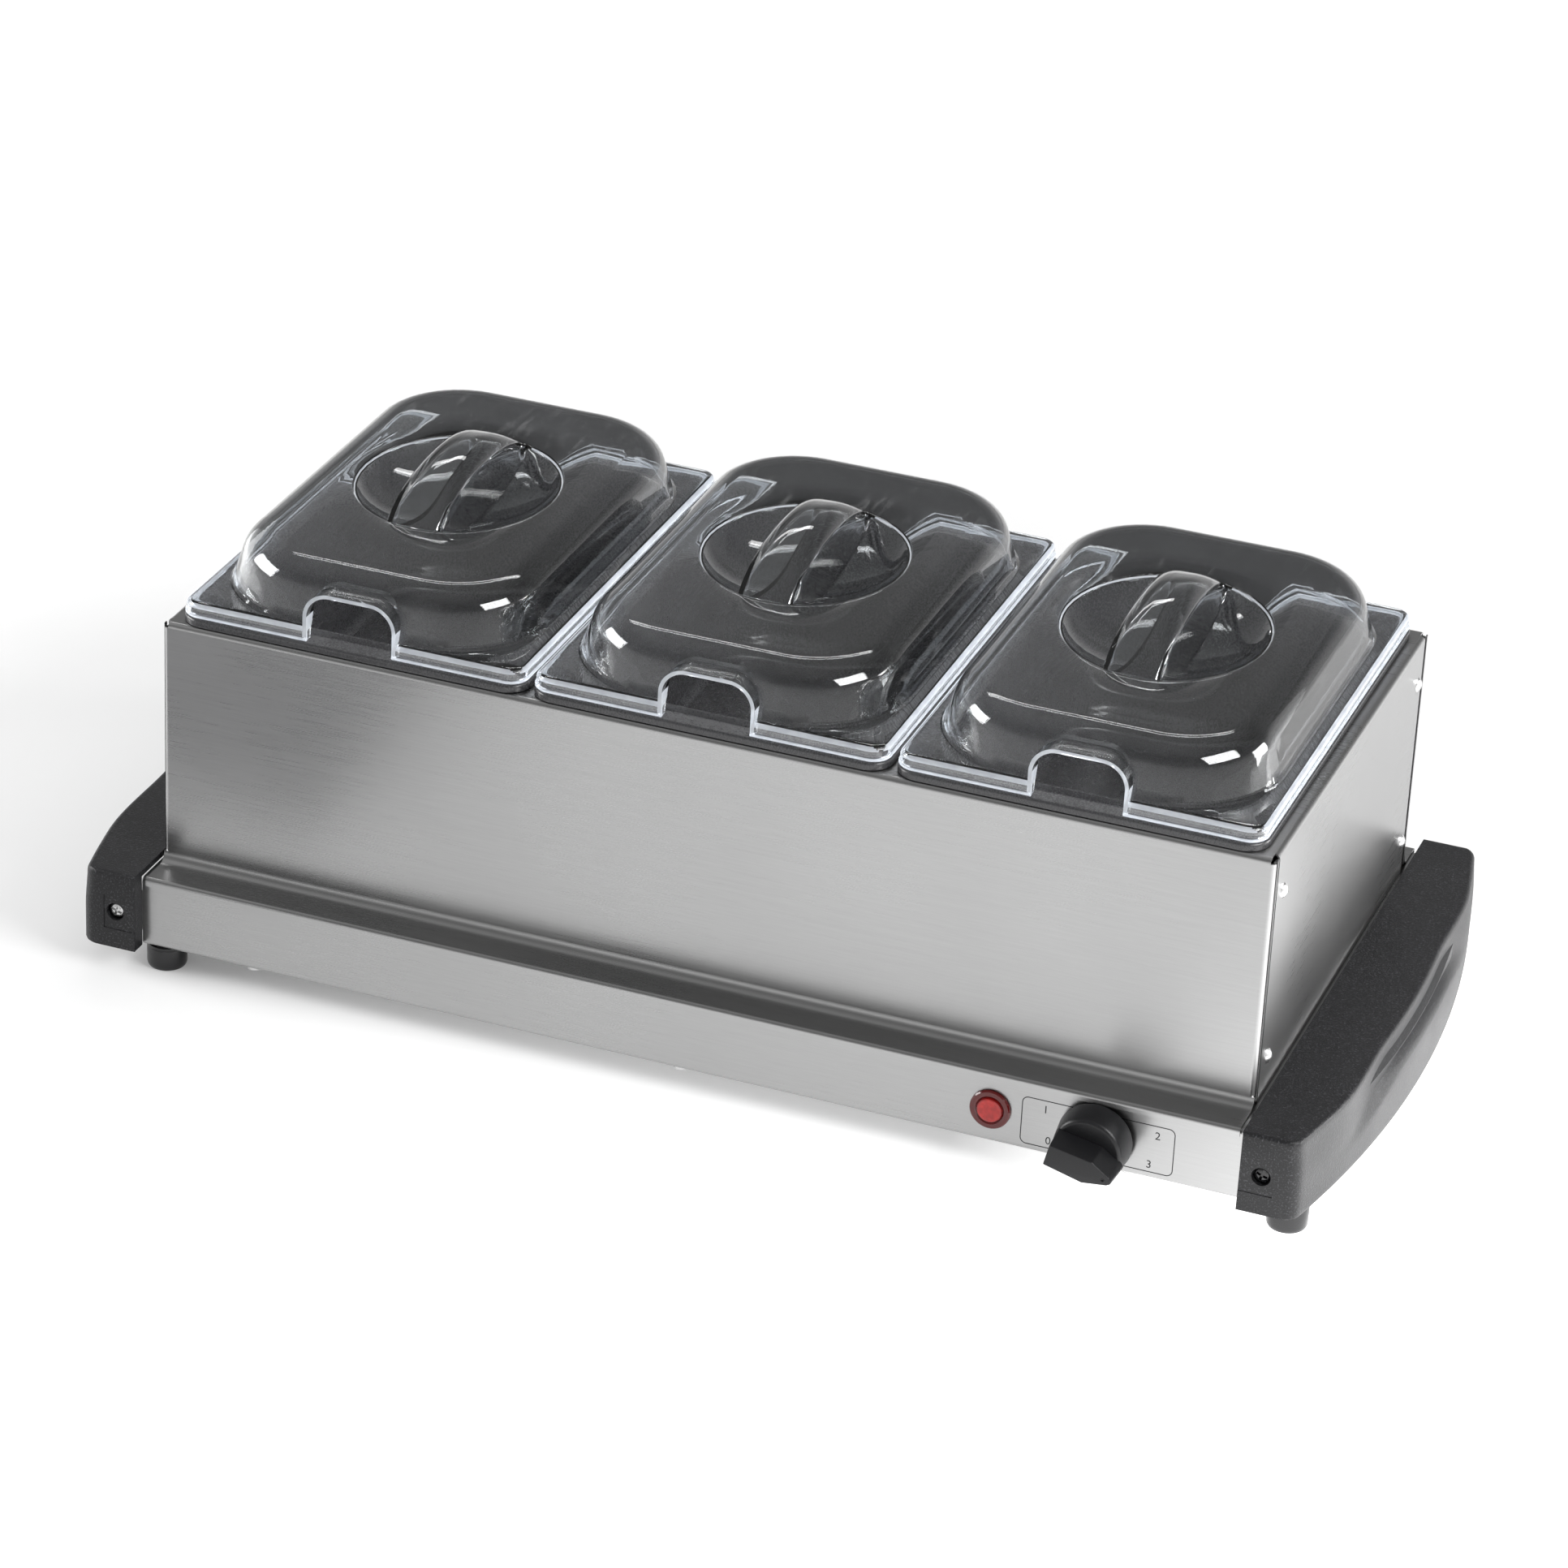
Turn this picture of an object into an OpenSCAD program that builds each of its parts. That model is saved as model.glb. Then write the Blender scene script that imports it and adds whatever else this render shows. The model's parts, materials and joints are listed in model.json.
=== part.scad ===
// Electric buffet server: a warming base, a lift-off serving frame, three pans and three clear lids.
// +X is right, +Y is back, +Z is up. The origin is under the middle of the object, on the table top.

/* [Serving frame] */
// Length of the frame, left to right
frame_l = 520; // [505:5:550]
// Depth of the frame, front to back
frame_d = 244; // [240:2:256]
// Height of the deck above the ledge
frame_h = 121; // [100:1:135]
// How far the ledge flares out in front and behind
ledge = 19.4; // [18.6:0.2:20]
// Thickness of the steel sheet
sheet = 0.8; // [0.6:0.1:0.9]

/* [Base] */
// Height of the steel base without its feet
base_h = 35; // [34:0.5:40]
// Height of the feet
foot_h = 12.5; // [10:0.5:20]
// Diameter of the feet
foot_d = 18.6; // [16:0.2:19]

/* [Handles] */
// Height of the end handles
handle_h = 38.5; // [38:0.5:42]
// Width of a handle at its middle
handle_w = 43.5; // [40:0.5:50]
// Width of a handle at its front and rear faces
handle_end_w = 25.8; // [24:0.2:30]

/* [Pans] */
// Depth of a pan below the deck
pan_depth = 64; // [50:1:90]
// Thickness of a pan's rim above the deck
rim_h = 3.9; // [3:0.1:5]

/* [Lids] */
// Height of a lid's dome above the deck
dome_h = 37; // [32:1:45]
// Height of the bridge handle above the dome
bridge_h = 20; // [16:1:25]
// Width of the serving-spoon notch
notch_w = 41.5; // [30:0.5:50]
// Wall thickness of a lid
lid_wall = 2; // [1.6:0.1:2.4]

/* [Controls] */
// Diameter of the control knob's skirt
knob_d = 34; // [30:1:34]
// How far the knob stands out from the base
knob_out = 30; // [26:1:36]
// Diameter of the pilot lamp's lens
lamp_d = 18.8; // [16:0.2:20]

/* [Hidden] */

$fn = 64;
eps = 0.01;
gap = 0.3;                 // space left between parts that lift off each other
fit = 0.1;                 // space between parts that are screwed together
arc_steps = 8;             // straight steps in each corner of a lofted pan or lid

// Overall layout
base_l = frame_l + 5;
base_d = frame_d + 35;
handle_overhang = 8;
handle_d = base_d + 2 * handle_overhang;
mid_y = (base_d / 2 + knob_out - handle_d / 2) / 2;
base_z = foot_h;
plate_z = base_z + base_h;
ledge_z = plate_z + gap + sheet;
deck_z = ledge_z + frame_h;
front_y = -base_d / 2;
rear_y = base_d / 2;
handle_x = base_l / 2 + 0.2;

// Bends in the sheet steel
bend_r = 2.5;
ledge_r = 5;
lip_r = 2;
lip_drop = 4;

// Base details
flange_w = 18;             // bottom flanges, folded in from the front and rear skirts
tab_l = 18;                // tabs that run out into the handles
tab_z = [base_z + 8, base_z + 28];
cover_inset = 3;
cover_r = 4;
cover_screw_x = [-210, 0, 210];
cover_screw_y = base_d / 2 - 9;
cover_screw_l = 6;
drill = 4;                 // length of the cutters for holes through sheet
vent_l = 34;
vent_w = 4;
vent_rows = 5;
vent_x = 150;

// Feet
foot_x = [-base_l / 2 + 7.5, base_l / 2 + 19];
foot_y = base_d / 2 - 10;
foot_sink_d = 9;
foot_sink_h = 5;
foot_taper = 1.6;
foot_taper_h = 1;
foot_screw_l = 13;

// Screws
m4_d = 4;
m4_hole_d = 4.2;
m4_head_d = 8.1;
m4_head_h = 2.3;
slot_w = 1.1;
slot_l = 4.6;
slot_h = 1.3;

// Handles
handle_wall = 3;
handle_r = 6;              // rounding along the outer top edge
handle_bulge_r = (pow(handle_d / 2, 2) + pow(handle_w - handle_end_w, 2)) / (2 * (handle_w - handle_end_w));
handle_arc_x = handle_x + handle_w - handle_bulge_r;
handle_top_z = base_z + handle_h;
handle_screw_x = base_l / 2 + 10;
handle_screw_z = base_z + 18.5;
patch_w = 15.5;
patch_z = [base_z + 9.5, base_z + 26.5];
patch_sink = 1;
pad_w = 20;                // solid end blocks that take the handle screws
pad_t = 8;
pad_z = base_z + 3;
scoop_r = 130;             // dish in the outer face
scoop_sink = 5;
scoop_z = base_z + handle_h * 0.62 + 16;
boss_d = 16;               // posts for the feet
boss_hole_h = 12;
rib_y = 108;
rib_t = 2.4;
rib_z = base_z + 10;
handle_screw_l = 9;
head_sink = 4;

// Heater stack, from the warming plate down
stack_l = 430;
stack_d = 180;
stack_gap = 0.1;
mica_t = 0.9;
ribbon_t = 0.4;
ribbon_w = 5;
ribbon_runs = 14;
felt_t = 6;
mica_top_z = plate_z - sheet - stack_gap;
ribbon_top_z = mica_top_z - mica_t - stack_gap;
mica_low_z = ribbon_top_z - ribbon_t - stack_gap;
pad_top_z = mica_low_z - mica_t - stack_gap;
tray_top_z = pad_top_z - felt_t - stack_gap;
tray_margin = 16;
tray_l = stack_l + 2 * tray_margin;
tray_d = stack_d + 2 * tray_margin;
tray_r = 5;
ribbon_margin = 15;
stud_x = stack_l / 2 + tray_margin / 2;
stud_y = stack_d / 2 + tray_margin / 2;
stud_h = 14.5;
nut_af = 7;
nut_h = 3.2;

// Controls
knob_x = 196.5;
knob_z = base_z + 15.7;
knob_gap = 2.4;            // clears the lip of the frame's ledge
knob_skirt_h = 13.5;
knob_taper = 1.7;
knob_bar_half = 6.2;
knob_bar_tail = 14.7;
knob_bar_tip = 17.5;
knob_bar_side = 0.7;       // how much slimmer the bar's square end is
knob_bar_nose = 2;         // half width of the blunt point
knob_rest_angle = 13;
knob_shell = 3;
knob_hollow_h = 8;
knob_hub_top = 7.5;        // solid cap left over the shaft
shaft_d = 6;
shaft_flat = 1.8;          // height of the flat above the shaft's axis
shaft_flat_l = 11;
shaft_top = 8;
shaft_tail = 10;           // how far the shaft runs in behind the skirt
shaft_run = 0.05;
shaft_grip = 0.02;
bush_d = 9;
bush_out = 7;
bush_nut_af = 13;
bush_nut_h = 2.5;
thermostat_size = [32, 24, 22];
terminal_tab = [5, 9, 0.8];
terminal_tab_x = 11;
lamp_x = 147.5;
lamp_z = base_z + 16.8;
lamp_out = 2.6;
lamp_barrel_d = 14;
lamp_barrel_l = 9;
lamp_wall = 1.5;
lamp_boss = 0.62;          // raised middle, as a share of the lens
lamp_tube_d = 6;
lamp_tube_l = 12;
lamp_base_h = 4;
lamp_tab = [0.8, 4, 8];

// Rear cable gland
gland_x = 214;
gland_z = base_z + 17;
gland_d = 18;
gland_out = 7.5;
gland_thread_d = 12;
cord_hole_d = 7.2;
gland_flange_h = 3;
gland_cone_d = [14, 11];
gland_tail = 12;
gland_nut_af = 17;
gland_nut_h = 4;

// Wiring
fuse_d = 5;
fuse_l = 24;
fuse_x = -120;
fuse_drop = 3;
fuse_lead_d = 1.2;
fuse_lead_l = 8;
block_pos = [gland_x - 30, rear_y - 42, base_z + 2];
block_size = [34, 18, 13];
block_ways = 3;
block_way = block_size[0] / block_ways;
block_bore_d = 4.4;
block_bore_z = 5;
block_well_d = 4;
block_well_y = [4.5, block_size[1] - 4.5];
block_screw_d = 3.8;
block_screw_z = 7.4;
block_screw_h = 4.4;
lead_d = 2.4;
lead_bend_d = lead_d + 0.4;
lead_z = base_z + 7;
lead_tab_y = [front_y + 46, front_y + 36];
lead_return_x = -90;

// Frame details
side_set = 5.7;            // how far the side panels stop short of the front and rear
return_w = 16;             // flanges behind the side panels, folded in from the front and rear
rivet_y = frame_d / 2 - 16.8;
rear_rivet_y = frame_d / 2 - 11;
rivet_z = [deck_z - 22.3, deck_z - 103.8];
rivet_d = 7.2;
rivet_h = 1.8;
rivet_hole_d = 3.4;
rivet_shank_d = 3.2;
rivet_tail_d = 5.4;
rivet_tail_h = 1.6;
rivet_l = 4.5;
pitch = (frame_l - 10) / 3;
opening_rim = 11;
opening_w = pitch - 2 * opening_rim;
opening_d = frame_d - 2 * opening_rim;
opening_r = 36;

// Pans
pan_w = pitch - 2.5;
pan_d = frame_d - 2.5;
rim_w = 12;
pan_wall = 1.2;
pan_draft = 5;
pan_bottom_r = 5;
pan_r = opening_r - 3;
pan_rim_r = 11;
rim_wall = 1.2;            // down-turned edge of the rim
bead_w = 2.6;              // raised bead round the mouth
bead_h = 2.2;

// Lids, heights above the deck
lid_w = pitch - 3.5;
lid_d = frame_d - 4;
lid_r = 9;
lip_z = rim_h + gap;
flange_z = lip_z + 7;
flange_side = 7;
flange_front = 4;
dome_r = 48;
dome_lean = 17;
shoulder_r = 15;
notch_h = 23;
notch_r = 11;
well_rx = 46;
well_ry = 53;
well_depth = 14;
bridge_w = 26;
bridge_steps = 8;
well_raise = 5;            // centre of the bowl's ellipsoid above the dome

// --- Shared shapes -------------------------------------------------------------------------------

// Rectangle with rounded corners, centred
module rounded_rect(w, h, r) {
    square([w - 2 * r, h], center = true);
    square([w, h - 2 * r], center = true);
    for (sx = [-1, 1], sy = [-1, 1])
        translate([sx * (w / 2 - r), sy * (h / 2 - r)]) circle(r);
}

// Cylinder along Y, starting at y = 0 and running back
module rod_y(d, h) rotate([-90, 0, 0]) cylinder(d = d, h = h);

// Extrudes a side view (drawn as y, z) along X, centred
module along_x(length) rotate([90, 0, 90]) translate([0, 0, -length / 2]) linear_extrude(length) children();

// Quarter of a bent sheet: ring of outer radius r in the quadrant given by sx, sy
module quarter_bend(r, t, sx, sy) {
    intersection() {
        difference() {
            circle(r);
            circle(r - t);
        }
        translate([sx > 0 ? 0 : -r, sy > 0 ? 0 : -r]) square(r);
    }
}

// Points of a rounded rectangle at height z
function ring(w, d, r, z) = [
    for (c = [0:3], i = [0:arc_steps])
        let (a = 90 * c + 90 * i / arc_steps)
        [(c == 0 || c == 3 ? 1 : -1) * (w / 2 - r) + r * cos(a),
         (c < 2 ? 1 : -1) * (d / 2 - r) + r * sin(a), z]];

// Closed solid through a list of rings [w, d, r, z], with flat ends
module loft(rings) {
    n = 4 * (arc_steps + 1);
    points = [for (s = rings) each ring(s[0], s[1], s[2], s[3])];
    sides = [for (k = [0:len(rings) - 2], i = [0:n - 1])
        let (a = k * n + i, b = k * n + (i + 1) % n)
        each [[a, a + n, b + n], [a, b + n, b]]];
    last = (len(rings) - 1) * n;
    caps = [[for (i = [0:n - 1]) i], [for (i = [n - 1:-1:0]) last + i]];
    polyhedron(points = points, faces = concat(caps, sides));
}

// Cross-head screw along +Y with its head's outer face at y = 0
module screw_y(length) {
    difference() {
        rod_y(m4_head_d, m4_head_h);
        for (turn = [0, 90])
            rotate([0, turn, 0]) translate([-slot_l / 2, -eps, -slot_w / 2]) cube([slot_l, slot_h, slot_w]);
    }
    translate([0, m4_head_h, 0]) rod_y(m4_d, length);
}

// --- Base ----------------------------------------------------------------------------------------

// Side view of the folded base: warming plate, front and rear skirts, bottom flanges
module base_profile() {
    difference() {
        translate([0, base_z + base_h / 2]) rounded_rect(base_d, base_h, bend_r);
        translate([0, base_z + base_h / 2])
            rounded_rect(base_d - 2 * sheet, base_h - 2 * sheet, bend_r - sheet);
        translate([-base_d / 2 + flange_w, base_z - 1]) square([base_d - 2 * flange_w, base_h / 2]);
    }
}

module base_shell() color("silver") translate([0, mid_y, 0]) {
    tab_mid_z = (tab_z[0] + tab_z[1]) / 2;
    difference() {
        union() {
            along_x(base_l) base_profile();
            for (side = [-1, 1]) {
                translate([side * (base_l / 2 - sheet / 2), 0, base_z + base_h / 2])
                    cube([sheet, base_d - 2 * bend_r, base_h - 1], center = true);
                for (face = [-1, 1])
                    translate([side * (base_l / 2 + tab_l / 2 - 1), face * (base_d - sheet) / 2, tab_mid_z])
                        cube([tab_l + 2, sheet, tab_z[1] - tab_z[0]], center = true);
            }
        }
        translate([knob_x, front_y - 1, knob_z]) rod_y(bush_d + 2 * fit, drill);
        translate([lamp_x, front_y - 1, lamp_z]) rod_y(lamp_barrel_d + 2 * fit, drill);
        translate([gland_x, rear_y + 1 - drill, gland_z]) rod_y(gland_thread_d + 2 * fit, drill);
        for (side = [-1, 1], face = [-1, 1])
            translate([side * handle_screw_x, face * base_d / 2 - drill / 2, handle_screw_z])
                rod_y(m4_hole_d, drill);
        base_screw_holes();
    }
}

// Holes down through the bottom flanges and the cover, for the left feet and the cover screws
module base_screw_holes() for (face = [-1, 1]) {
    translate([foot_x[0], face * foot_y, base_z - drill / 2]) cylinder(d = m4_hole_d, h = drill);
    for (x = cover_screw_x)
        translate([x, face * cover_screw_y, base_z - drill / 2]) cylinder(d = m4_hole_d, h = drill);
}

module bottom_cover() color("gray") translate([0, mid_y, 0]) {
    vent_pitch = 3 * vent_w;
    difference() {
        translate([0, 0, base_z - sheet]) linear_extrude(sheet - stack_gap)
            rounded_rect(base_l - 2 * cover_inset, base_d - 2 * cover_inset, cover_r);
        for (side = [-1, 1], row = [0:vent_rows - 1], bank = [-1, 1])
            translate([side * vent_x + bank * (vent_l + vent_pitch) / 2,
                (row - (vent_rows - 1) / 2) * vent_pitch, base_z - drill / 2])
                linear_extrude(drill) rounded_rect(vent_l, vent_w, vent_w / 2 - eps);
        base_screw_holes();
    }
}

// Six short screws that hold the bottom cover to the flanges
module cover_screws() color("silver") translate([0, mid_y, 0])
    for (x = cover_screw_x, face = [-1, 1])
        translate([x, face * cover_screw_y, base_z - sheet - m4_head_h - stack_gap])
            rotate([90, 0, 0]) screw_y(cover_screw_l);

// Outside of a right-hand handle: a bowed bar with a rounded top edge, cut square at its ends.
// A block with an inset is the hollow, so it also runs out through the bottom and the inner side.
module handle_block(inset) {
    half_d = handle_d / 2 - inset;
    open = inset > 0 ? 5 : 0;
    intersection() {
        translate([handle_arc_x, 0, 0]) rotate([0, 0, -20]) rotate_extrude(angle = 40, $fn = 128)
            handle_section(handle_bulge_r - inset, inset);
        translate([handle_x - open, -half_d, base_z - open])
            cube([handle_w + 20, 2 * half_d, handle_h + 10]);
    }
}

// Cross-section of the bowed bar, out to radius r
module handle_section(r, inset) {
    inner_r = handle_bulge_r - handle_w - 30;
    low_z = base_z - 5;
    top_z = handle_top_z - inset;
    corner = handle_r - inset / 2;
    translate([inner_r, low_z]) square([r - inner_r - corner, top_z - low_z]);
    translate([r - corner - 1, low_z]) square([corner + 1, top_z - low_z - corner]);
    translate([r - corner, top_z - corner]) circle(corner);
}

// Shallow dish for the thumb in the outer face
module handle_scoop(extra)
    translate([handle_x + handle_w - scoop_sink + scoop_r, 0, scoop_z])
        sphere(r = scoop_r + extra, $fn = 128);

// End blocks, ribs and the posts for the feet, inside the hollow
module handle_inside(has_foot_posts) for (face = [-1, 1]) {
    translate([handle_x, face * (handle_d / 2 - pad_t / 2 + fit / 2) - pad_t / 2 + fit / 2, pad_z])
        cube([pad_w, pad_t - fit, handle_top_z - pad_z - handle_wall / 2]);
    translate([handle_x + 1.5, face * rib_y - rib_t / 2, rib_z])
        cube([handle_w, rib_t, handle_top_z - rib_z - 1]);
    if (has_foot_posts)
        translate([foot_x[1], face * foot_y, base_z]) cylinder(d = boss_d, h = handle_h - 1);
}

module handle(has_foot_posts) {
    difference() {
        union() {
            difference() {
                handle_block(0);
                difference() {
                    handle_block(handle_wall);
                    handle_scoop(handle_wall);
                }
                handle_scoop(0);
            }
            intersection() {
                handle_block(0.5);
                handle_inside(has_foot_posts);
            }
        }
        for (face = [-1, 1]) {
            translate([handle_x - 1, face * handle_d / 2 - patch_sink, patch_z[0]])
                cube([patch_w + 1, 2 * patch_sink, patch_z[1] - patch_z[0]]);
            translate([handle_screw_x, face * handle_d / 2 - 2 * pad_t, handle_screw_z])
                rod_y(m4_hole_d, 4 * pad_t);
            translate([handle_screw_x, face * handle_d / 2 - head_sink, handle_screw_z])
                rod_y(m4_head_d + 0.6, 2 * head_sink);
            if (has_foot_posts)
                translate([foot_x[1], face * foot_y, base_z - 1])
                    cylinder(d = m4_hole_d, h = boss_hole_h + 1);
        }
        translate([handle_x - 20 + eps, -base_d, base_z - 10]) cube([20, 2 * base_d, handle_h + 20]);
    }
}

module left_handle() color("#2e2e2e") translate([0, mid_y, 0]) mirror([1, 0, 0]) handle(false);
module right_handle() color("#2e2e2e") translate([0, mid_y, 0]) handle(true);

// Four screws, one through each front and rear face of the handles
module handle_screws() color("silver") translate([0, mid_y, 0])
    for (side = [-1, 1], face = [-1, 1])
        translate([side * handle_screw_x, face * (handle_d / 2 - head_sink + m4_head_h), handle_screw_z])
            rotate([0, 0, face > 0 ? 180 : 0]) screw_y(handle_screw_l);

module foot(x, face, top) translate([x, mid_y + face * foot_y, 0])
    difference() {
        union() {
            translate([0, 0, foot_taper_h]) cylinder(d = foot_d, h = top - foot_taper_h);
            cylinder(d1 = foot_d - foot_taper, d2 = foot_d, h = foot_taper_h);
        }
        translate([0, 0, -1]) cylinder(d = foot_sink_d, h = foot_sink_h + 1);
        cylinder(d = m4_hole_d, h = top + 1);
    }

module front_left_foot() color("#101010") foot(foot_x[0], -1, base_z - sheet - stack_gap);
module rear_left_foot() color("#101010") foot(foot_x[0], 1, base_z - sheet - stack_gap);
module front_right_foot() color("#101010") foot(foot_x[1], -1, base_z - stack_gap);
module rear_right_foot() color("#101010") foot(foot_x[1], 1, base_z - stack_gap);

// One screw up through the middle of each foot
module foot_screws() color("silver") translate([0, mid_y, 0])
    for (x = foot_x, face = [-1, 1])
        translate([x, face * foot_y, foot_sink_h - m4_head_h - stack_gap])
            rotate([90, 0, 0]) screw_y(foot_screw_l);

// --- Heater --------------------------------------------------------------------------------------

module stack_sheet(top, t) translate([-stack_l / 2, -stack_d / 2, top - t]) cube([stack_l, stack_d, t]);

module upper_mica_sheet() color("burlywood") translate([0, mid_y, 0]) stack_sheet(mica_top_z, mica_t);
module lower_mica_sheet() color("burlywood") translate([0, mid_y, 0]) stack_sheet(mica_low_z, mica_t);
module insulation_pad() color("whitesmoke") translate([0, mid_y, 0]) stack_sheet(pad_top_z, felt_t);

// Flat resistance ribbon that snakes from left to right
module heating_ribbon() color("peru") translate([0, mid_y, 0]) {
    span = stack_l - 2 * ribbon_margin;
    run = stack_d - 2 * ribbon_margin;
    step = span / (ribbon_runs - 1);
    for (i = [0:ribbon_runs - 1]) {
        x = -span / 2 + i * step;
        translate([x - ribbon_w / 2, -run / 2, ribbon_top_z - ribbon_t]) cube([ribbon_w, run, ribbon_t]);
        turn_y = i % 2 == 0 ? run / 2 - ribbon_w : -run / 2;
        if (i < ribbon_runs - 1)
            translate([x - ribbon_w / 2, turn_y, ribbon_top_z - ribbon_t])
                cube([step + ribbon_w, ribbon_w, ribbon_t]);
    }
}

// Steel tray that presses the heater stack up against the warming plate
module heater_tray() color("silver") translate([0, mid_y, 0])
    difference() {
        translate([0, 0, tray_top_z - sheet]) linear_extrude(sheet) rounded_rect(tray_l, tray_d, tray_r);
        for (x = [-1, 0, 1], face = [-1, 1])
            translate([x * stud_x, face * stud_y, tray_top_z - drill / 2])
                cylinder(d = m4_hole_d, h = drill);
    }

module heater_studs() color("silver") translate([0, mid_y, 0])
    for (x = [-1, 0, 1], face = [-1, 1])
        translate([x * stud_x, face * stud_y, plate_z - sheet - stud_h])
            cylinder(d = m4_d, h = stud_h - stack_gap / 2);

module heater_nuts() color("silver") translate([0, mid_y, 0])
    for (x = [-1, 0, 1], face = [-1, 1])
        translate([x * stud_x, face * stud_y, tray_top_z - sheet - nut_h - stack_gap])
            difference() {
                cylinder(d = nut_af / cos(30), h = nut_h, $fn = 6);
                translate([0, 0, -1]) cylinder(d = m4_d + stack_gap, h = nut_h + 2);
            }

// --- Controls ------------------------------------------------------------------------------------

module thermostat_body() color("tan") translate([knob_x, mid_y + front_y + sheet, knob_z])
    difference() {
        union() {
            translate([-thermostat_size[0] / 2, fit, -thermostat_size[2] / 2 + 1]) cube(thermostat_size);
            translate([0, -sheet - bush_out, 0]) rod_y(bush_d, sheet + bush_out + 1);
            for (side = [-1, 1])
                translate([side * terminal_tab_x - terminal_tab[0] / 2, thermostat_size[1] - 1, -4])
                    cube(terminal_tab);
        }
        translate([0, -sheet - bush_out - 1, 0])
            rod_y(shaft_d + 2 * shaft_run, bush_out + sheet + shaft_tail + 2);
    }

module thermostat_nut() color("silver") translate([knob_x, mid_y + front_y - fit, knob_z])
    rotate([90, 0, 0]) difference() {
        cylinder(d = bush_nut_af / cos(30), h = bush_nut_h, $fn = 6);
        translate([0, 0, -1]) cylinder(d = bush_d + stack_gap, h = bush_nut_h + 2);
    }

module thermostat_shaft() color("lightgray")
    translate([knob_x, mid_y + front_y - knob_out + shaft_top, knob_z]) difference() {
        rod_y(shaft_d, knob_out - shaft_top + sheet + shaft_tail);
        rotate([0, knob_rest_angle, 0]) translate([-shaft_d, -1, shaft_flat])
            cube([2 * shaft_d, shaft_flat_l + 1, shaft_d]);
    }

// Round skirt with a pointed grip bar across its face
module control_knob() color("#1c1c1c") translate([knob_x, mid_y + front_y - knob_gap, knob_z])
    rotate([0, knob_rest_angle, 0]) rotate([90, 0, 0]) {
        height = knob_out - knob_gap;
        hub_top = height - knob_hub_top;
        difference() {
            union() {
                cylinder(d1 = knob_d, d2 = knob_d - 2 * knob_taper, h = knob_skirt_h, $fn = 96);
                translate([0, 0, knob_skirt_h - 1]) linear_extrude(height - knob_skirt_h + 1) knob_bar();
            }
            translate([0, 0, -1]) cylinder(d = knob_d - 2 * knob_shell, h = knob_hollow_h + 1);
            difference() {
                cylinder(d = shaft_d + 2 * shaft_grip, h = hub_top);
                translate([-shaft_d, shaft_flat + shaft_grip, hub_top - shaft_flat_l + 0.5])
                    cube([2 * shaft_d, shaft_d, shaft_flat_l]);
            }
        }
    }

// Outline of the grip bar, with its square end on the left and its point on the right
module knob_bar() polygon([
    [-knob_bar_tail, -knob_bar_half + knob_bar_side],
    [knob_bar_tip * 0.26, -knob_bar_half],
    [knob_bar_tip - 1.5, -knob_bar_nose],
    [knob_bar_tip, 0],
    [knob_bar_tip - 1.5, knob_bar_nose],
    [knob_bar_tip * 0.34, knob_bar_half],
    [-knob_bar_tail, knob_bar_half - knob_bar_side]]);

// Red lens with a raised middle, pushed through the front skirt
module pilot_lamp_lens() color("red") translate([lamp_x, mid_y + front_y, lamp_z])
    rotate([90, 0, 0]) difference() {
        union() {
            translate([0, 0, fit]) cylinder(d1 = lamp_d, d2 = lamp_d - 1.6, h = lamp_out - 0.6);
            cylinder(d = lamp_d * lamp_boss, h = lamp_out);
            translate([0, 0, -lamp_barrel_l]) cylinder(d = lamp_barrel_d, h = lamp_barrel_l + fit + eps);
        }
        translate([0, 0, -lamp_barrel_l - 1])
            cylinder(d = lamp_barrel_d - 2 * lamp_wall, h = lamp_barrel_l + 1.5);
    }

// Neon tube holder that plugs into the back of the lens
module pilot_lamp_holder() color("whitesmoke") translate([lamp_x, mid_y + front_y, lamp_z])
    rotate([-90, 0, 0]) {
        translate([0, 0, 1]) cylinder(d = lamp_tube_d, h = lamp_tube_l);
        translate([0, 0, lamp_barrel_l + 0.2]) cylinder(d = lamp_barrel_d, h = lamp_base_h);
        for (side = [-1, 1])
            translate([side * lamp_barrel_d / 4 - lamp_tab[0] / 2, -lamp_tab[1] / 2, lamp_tube_l])
                cube(lamp_tab);
    }

module thermal_fuse() color("gainsboro") translate([fuse_x, mid_y, tray_top_z - sheet - fuse_drop])
    rotate([0, 90, 0]) {
        cylinder(d = fuse_d, h = fuse_l);
        translate([0, 0, -fuse_lead_l]) cylinder(d = fuse_lead_d, h = fuse_l + 2 * fuse_lead_l);
    }

module terminal_block() color("ivory") translate([0, mid_y, 0]) translate(block_pos) difference() {
    cube(block_size);
    for (i = [0:block_ways - 1]) translate([block_way * (i + 0.5), 0, 0]) {
        translate([0, -1, block_bore_z]) rod_y(block_bore_d, block_size[1] + 2);
        for (y = block_well_y)
            translate([0, y, block_bore_z + 1]) cylinder(d = block_well_d, h = block_size[2]);
    }
}

module terminal_screws() color("silver") translate([0, mid_y, 0]) translate(block_pos)
    for (i = [0:block_ways - 1], y = block_well_y)
        translate([block_way * (i + 0.5), y, block_screw_z]) difference() {
            cylinder(d = block_screw_d, h = block_screw_h);
            translate([-block_screw_d, -0.4, block_screw_h - 1]) cube([2 * block_screw_d, 0.8, 2]);
        }

// A lead through the given points, with a round bend at each one
module lead(points) for (i = [0:len(points) - 2]) {
    run = points[i + 1] - points[i];
    translate(points[i]) {
        if (i > 0) sphere(d = lead_bend_d, $fn = 24);
        rotate([0, acos(run[2] / norm(run)), atan2(run[1], run[0])])
            cylinder(d = lead_d, h = norm(run), $fn = 24);
    }
}

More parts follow.
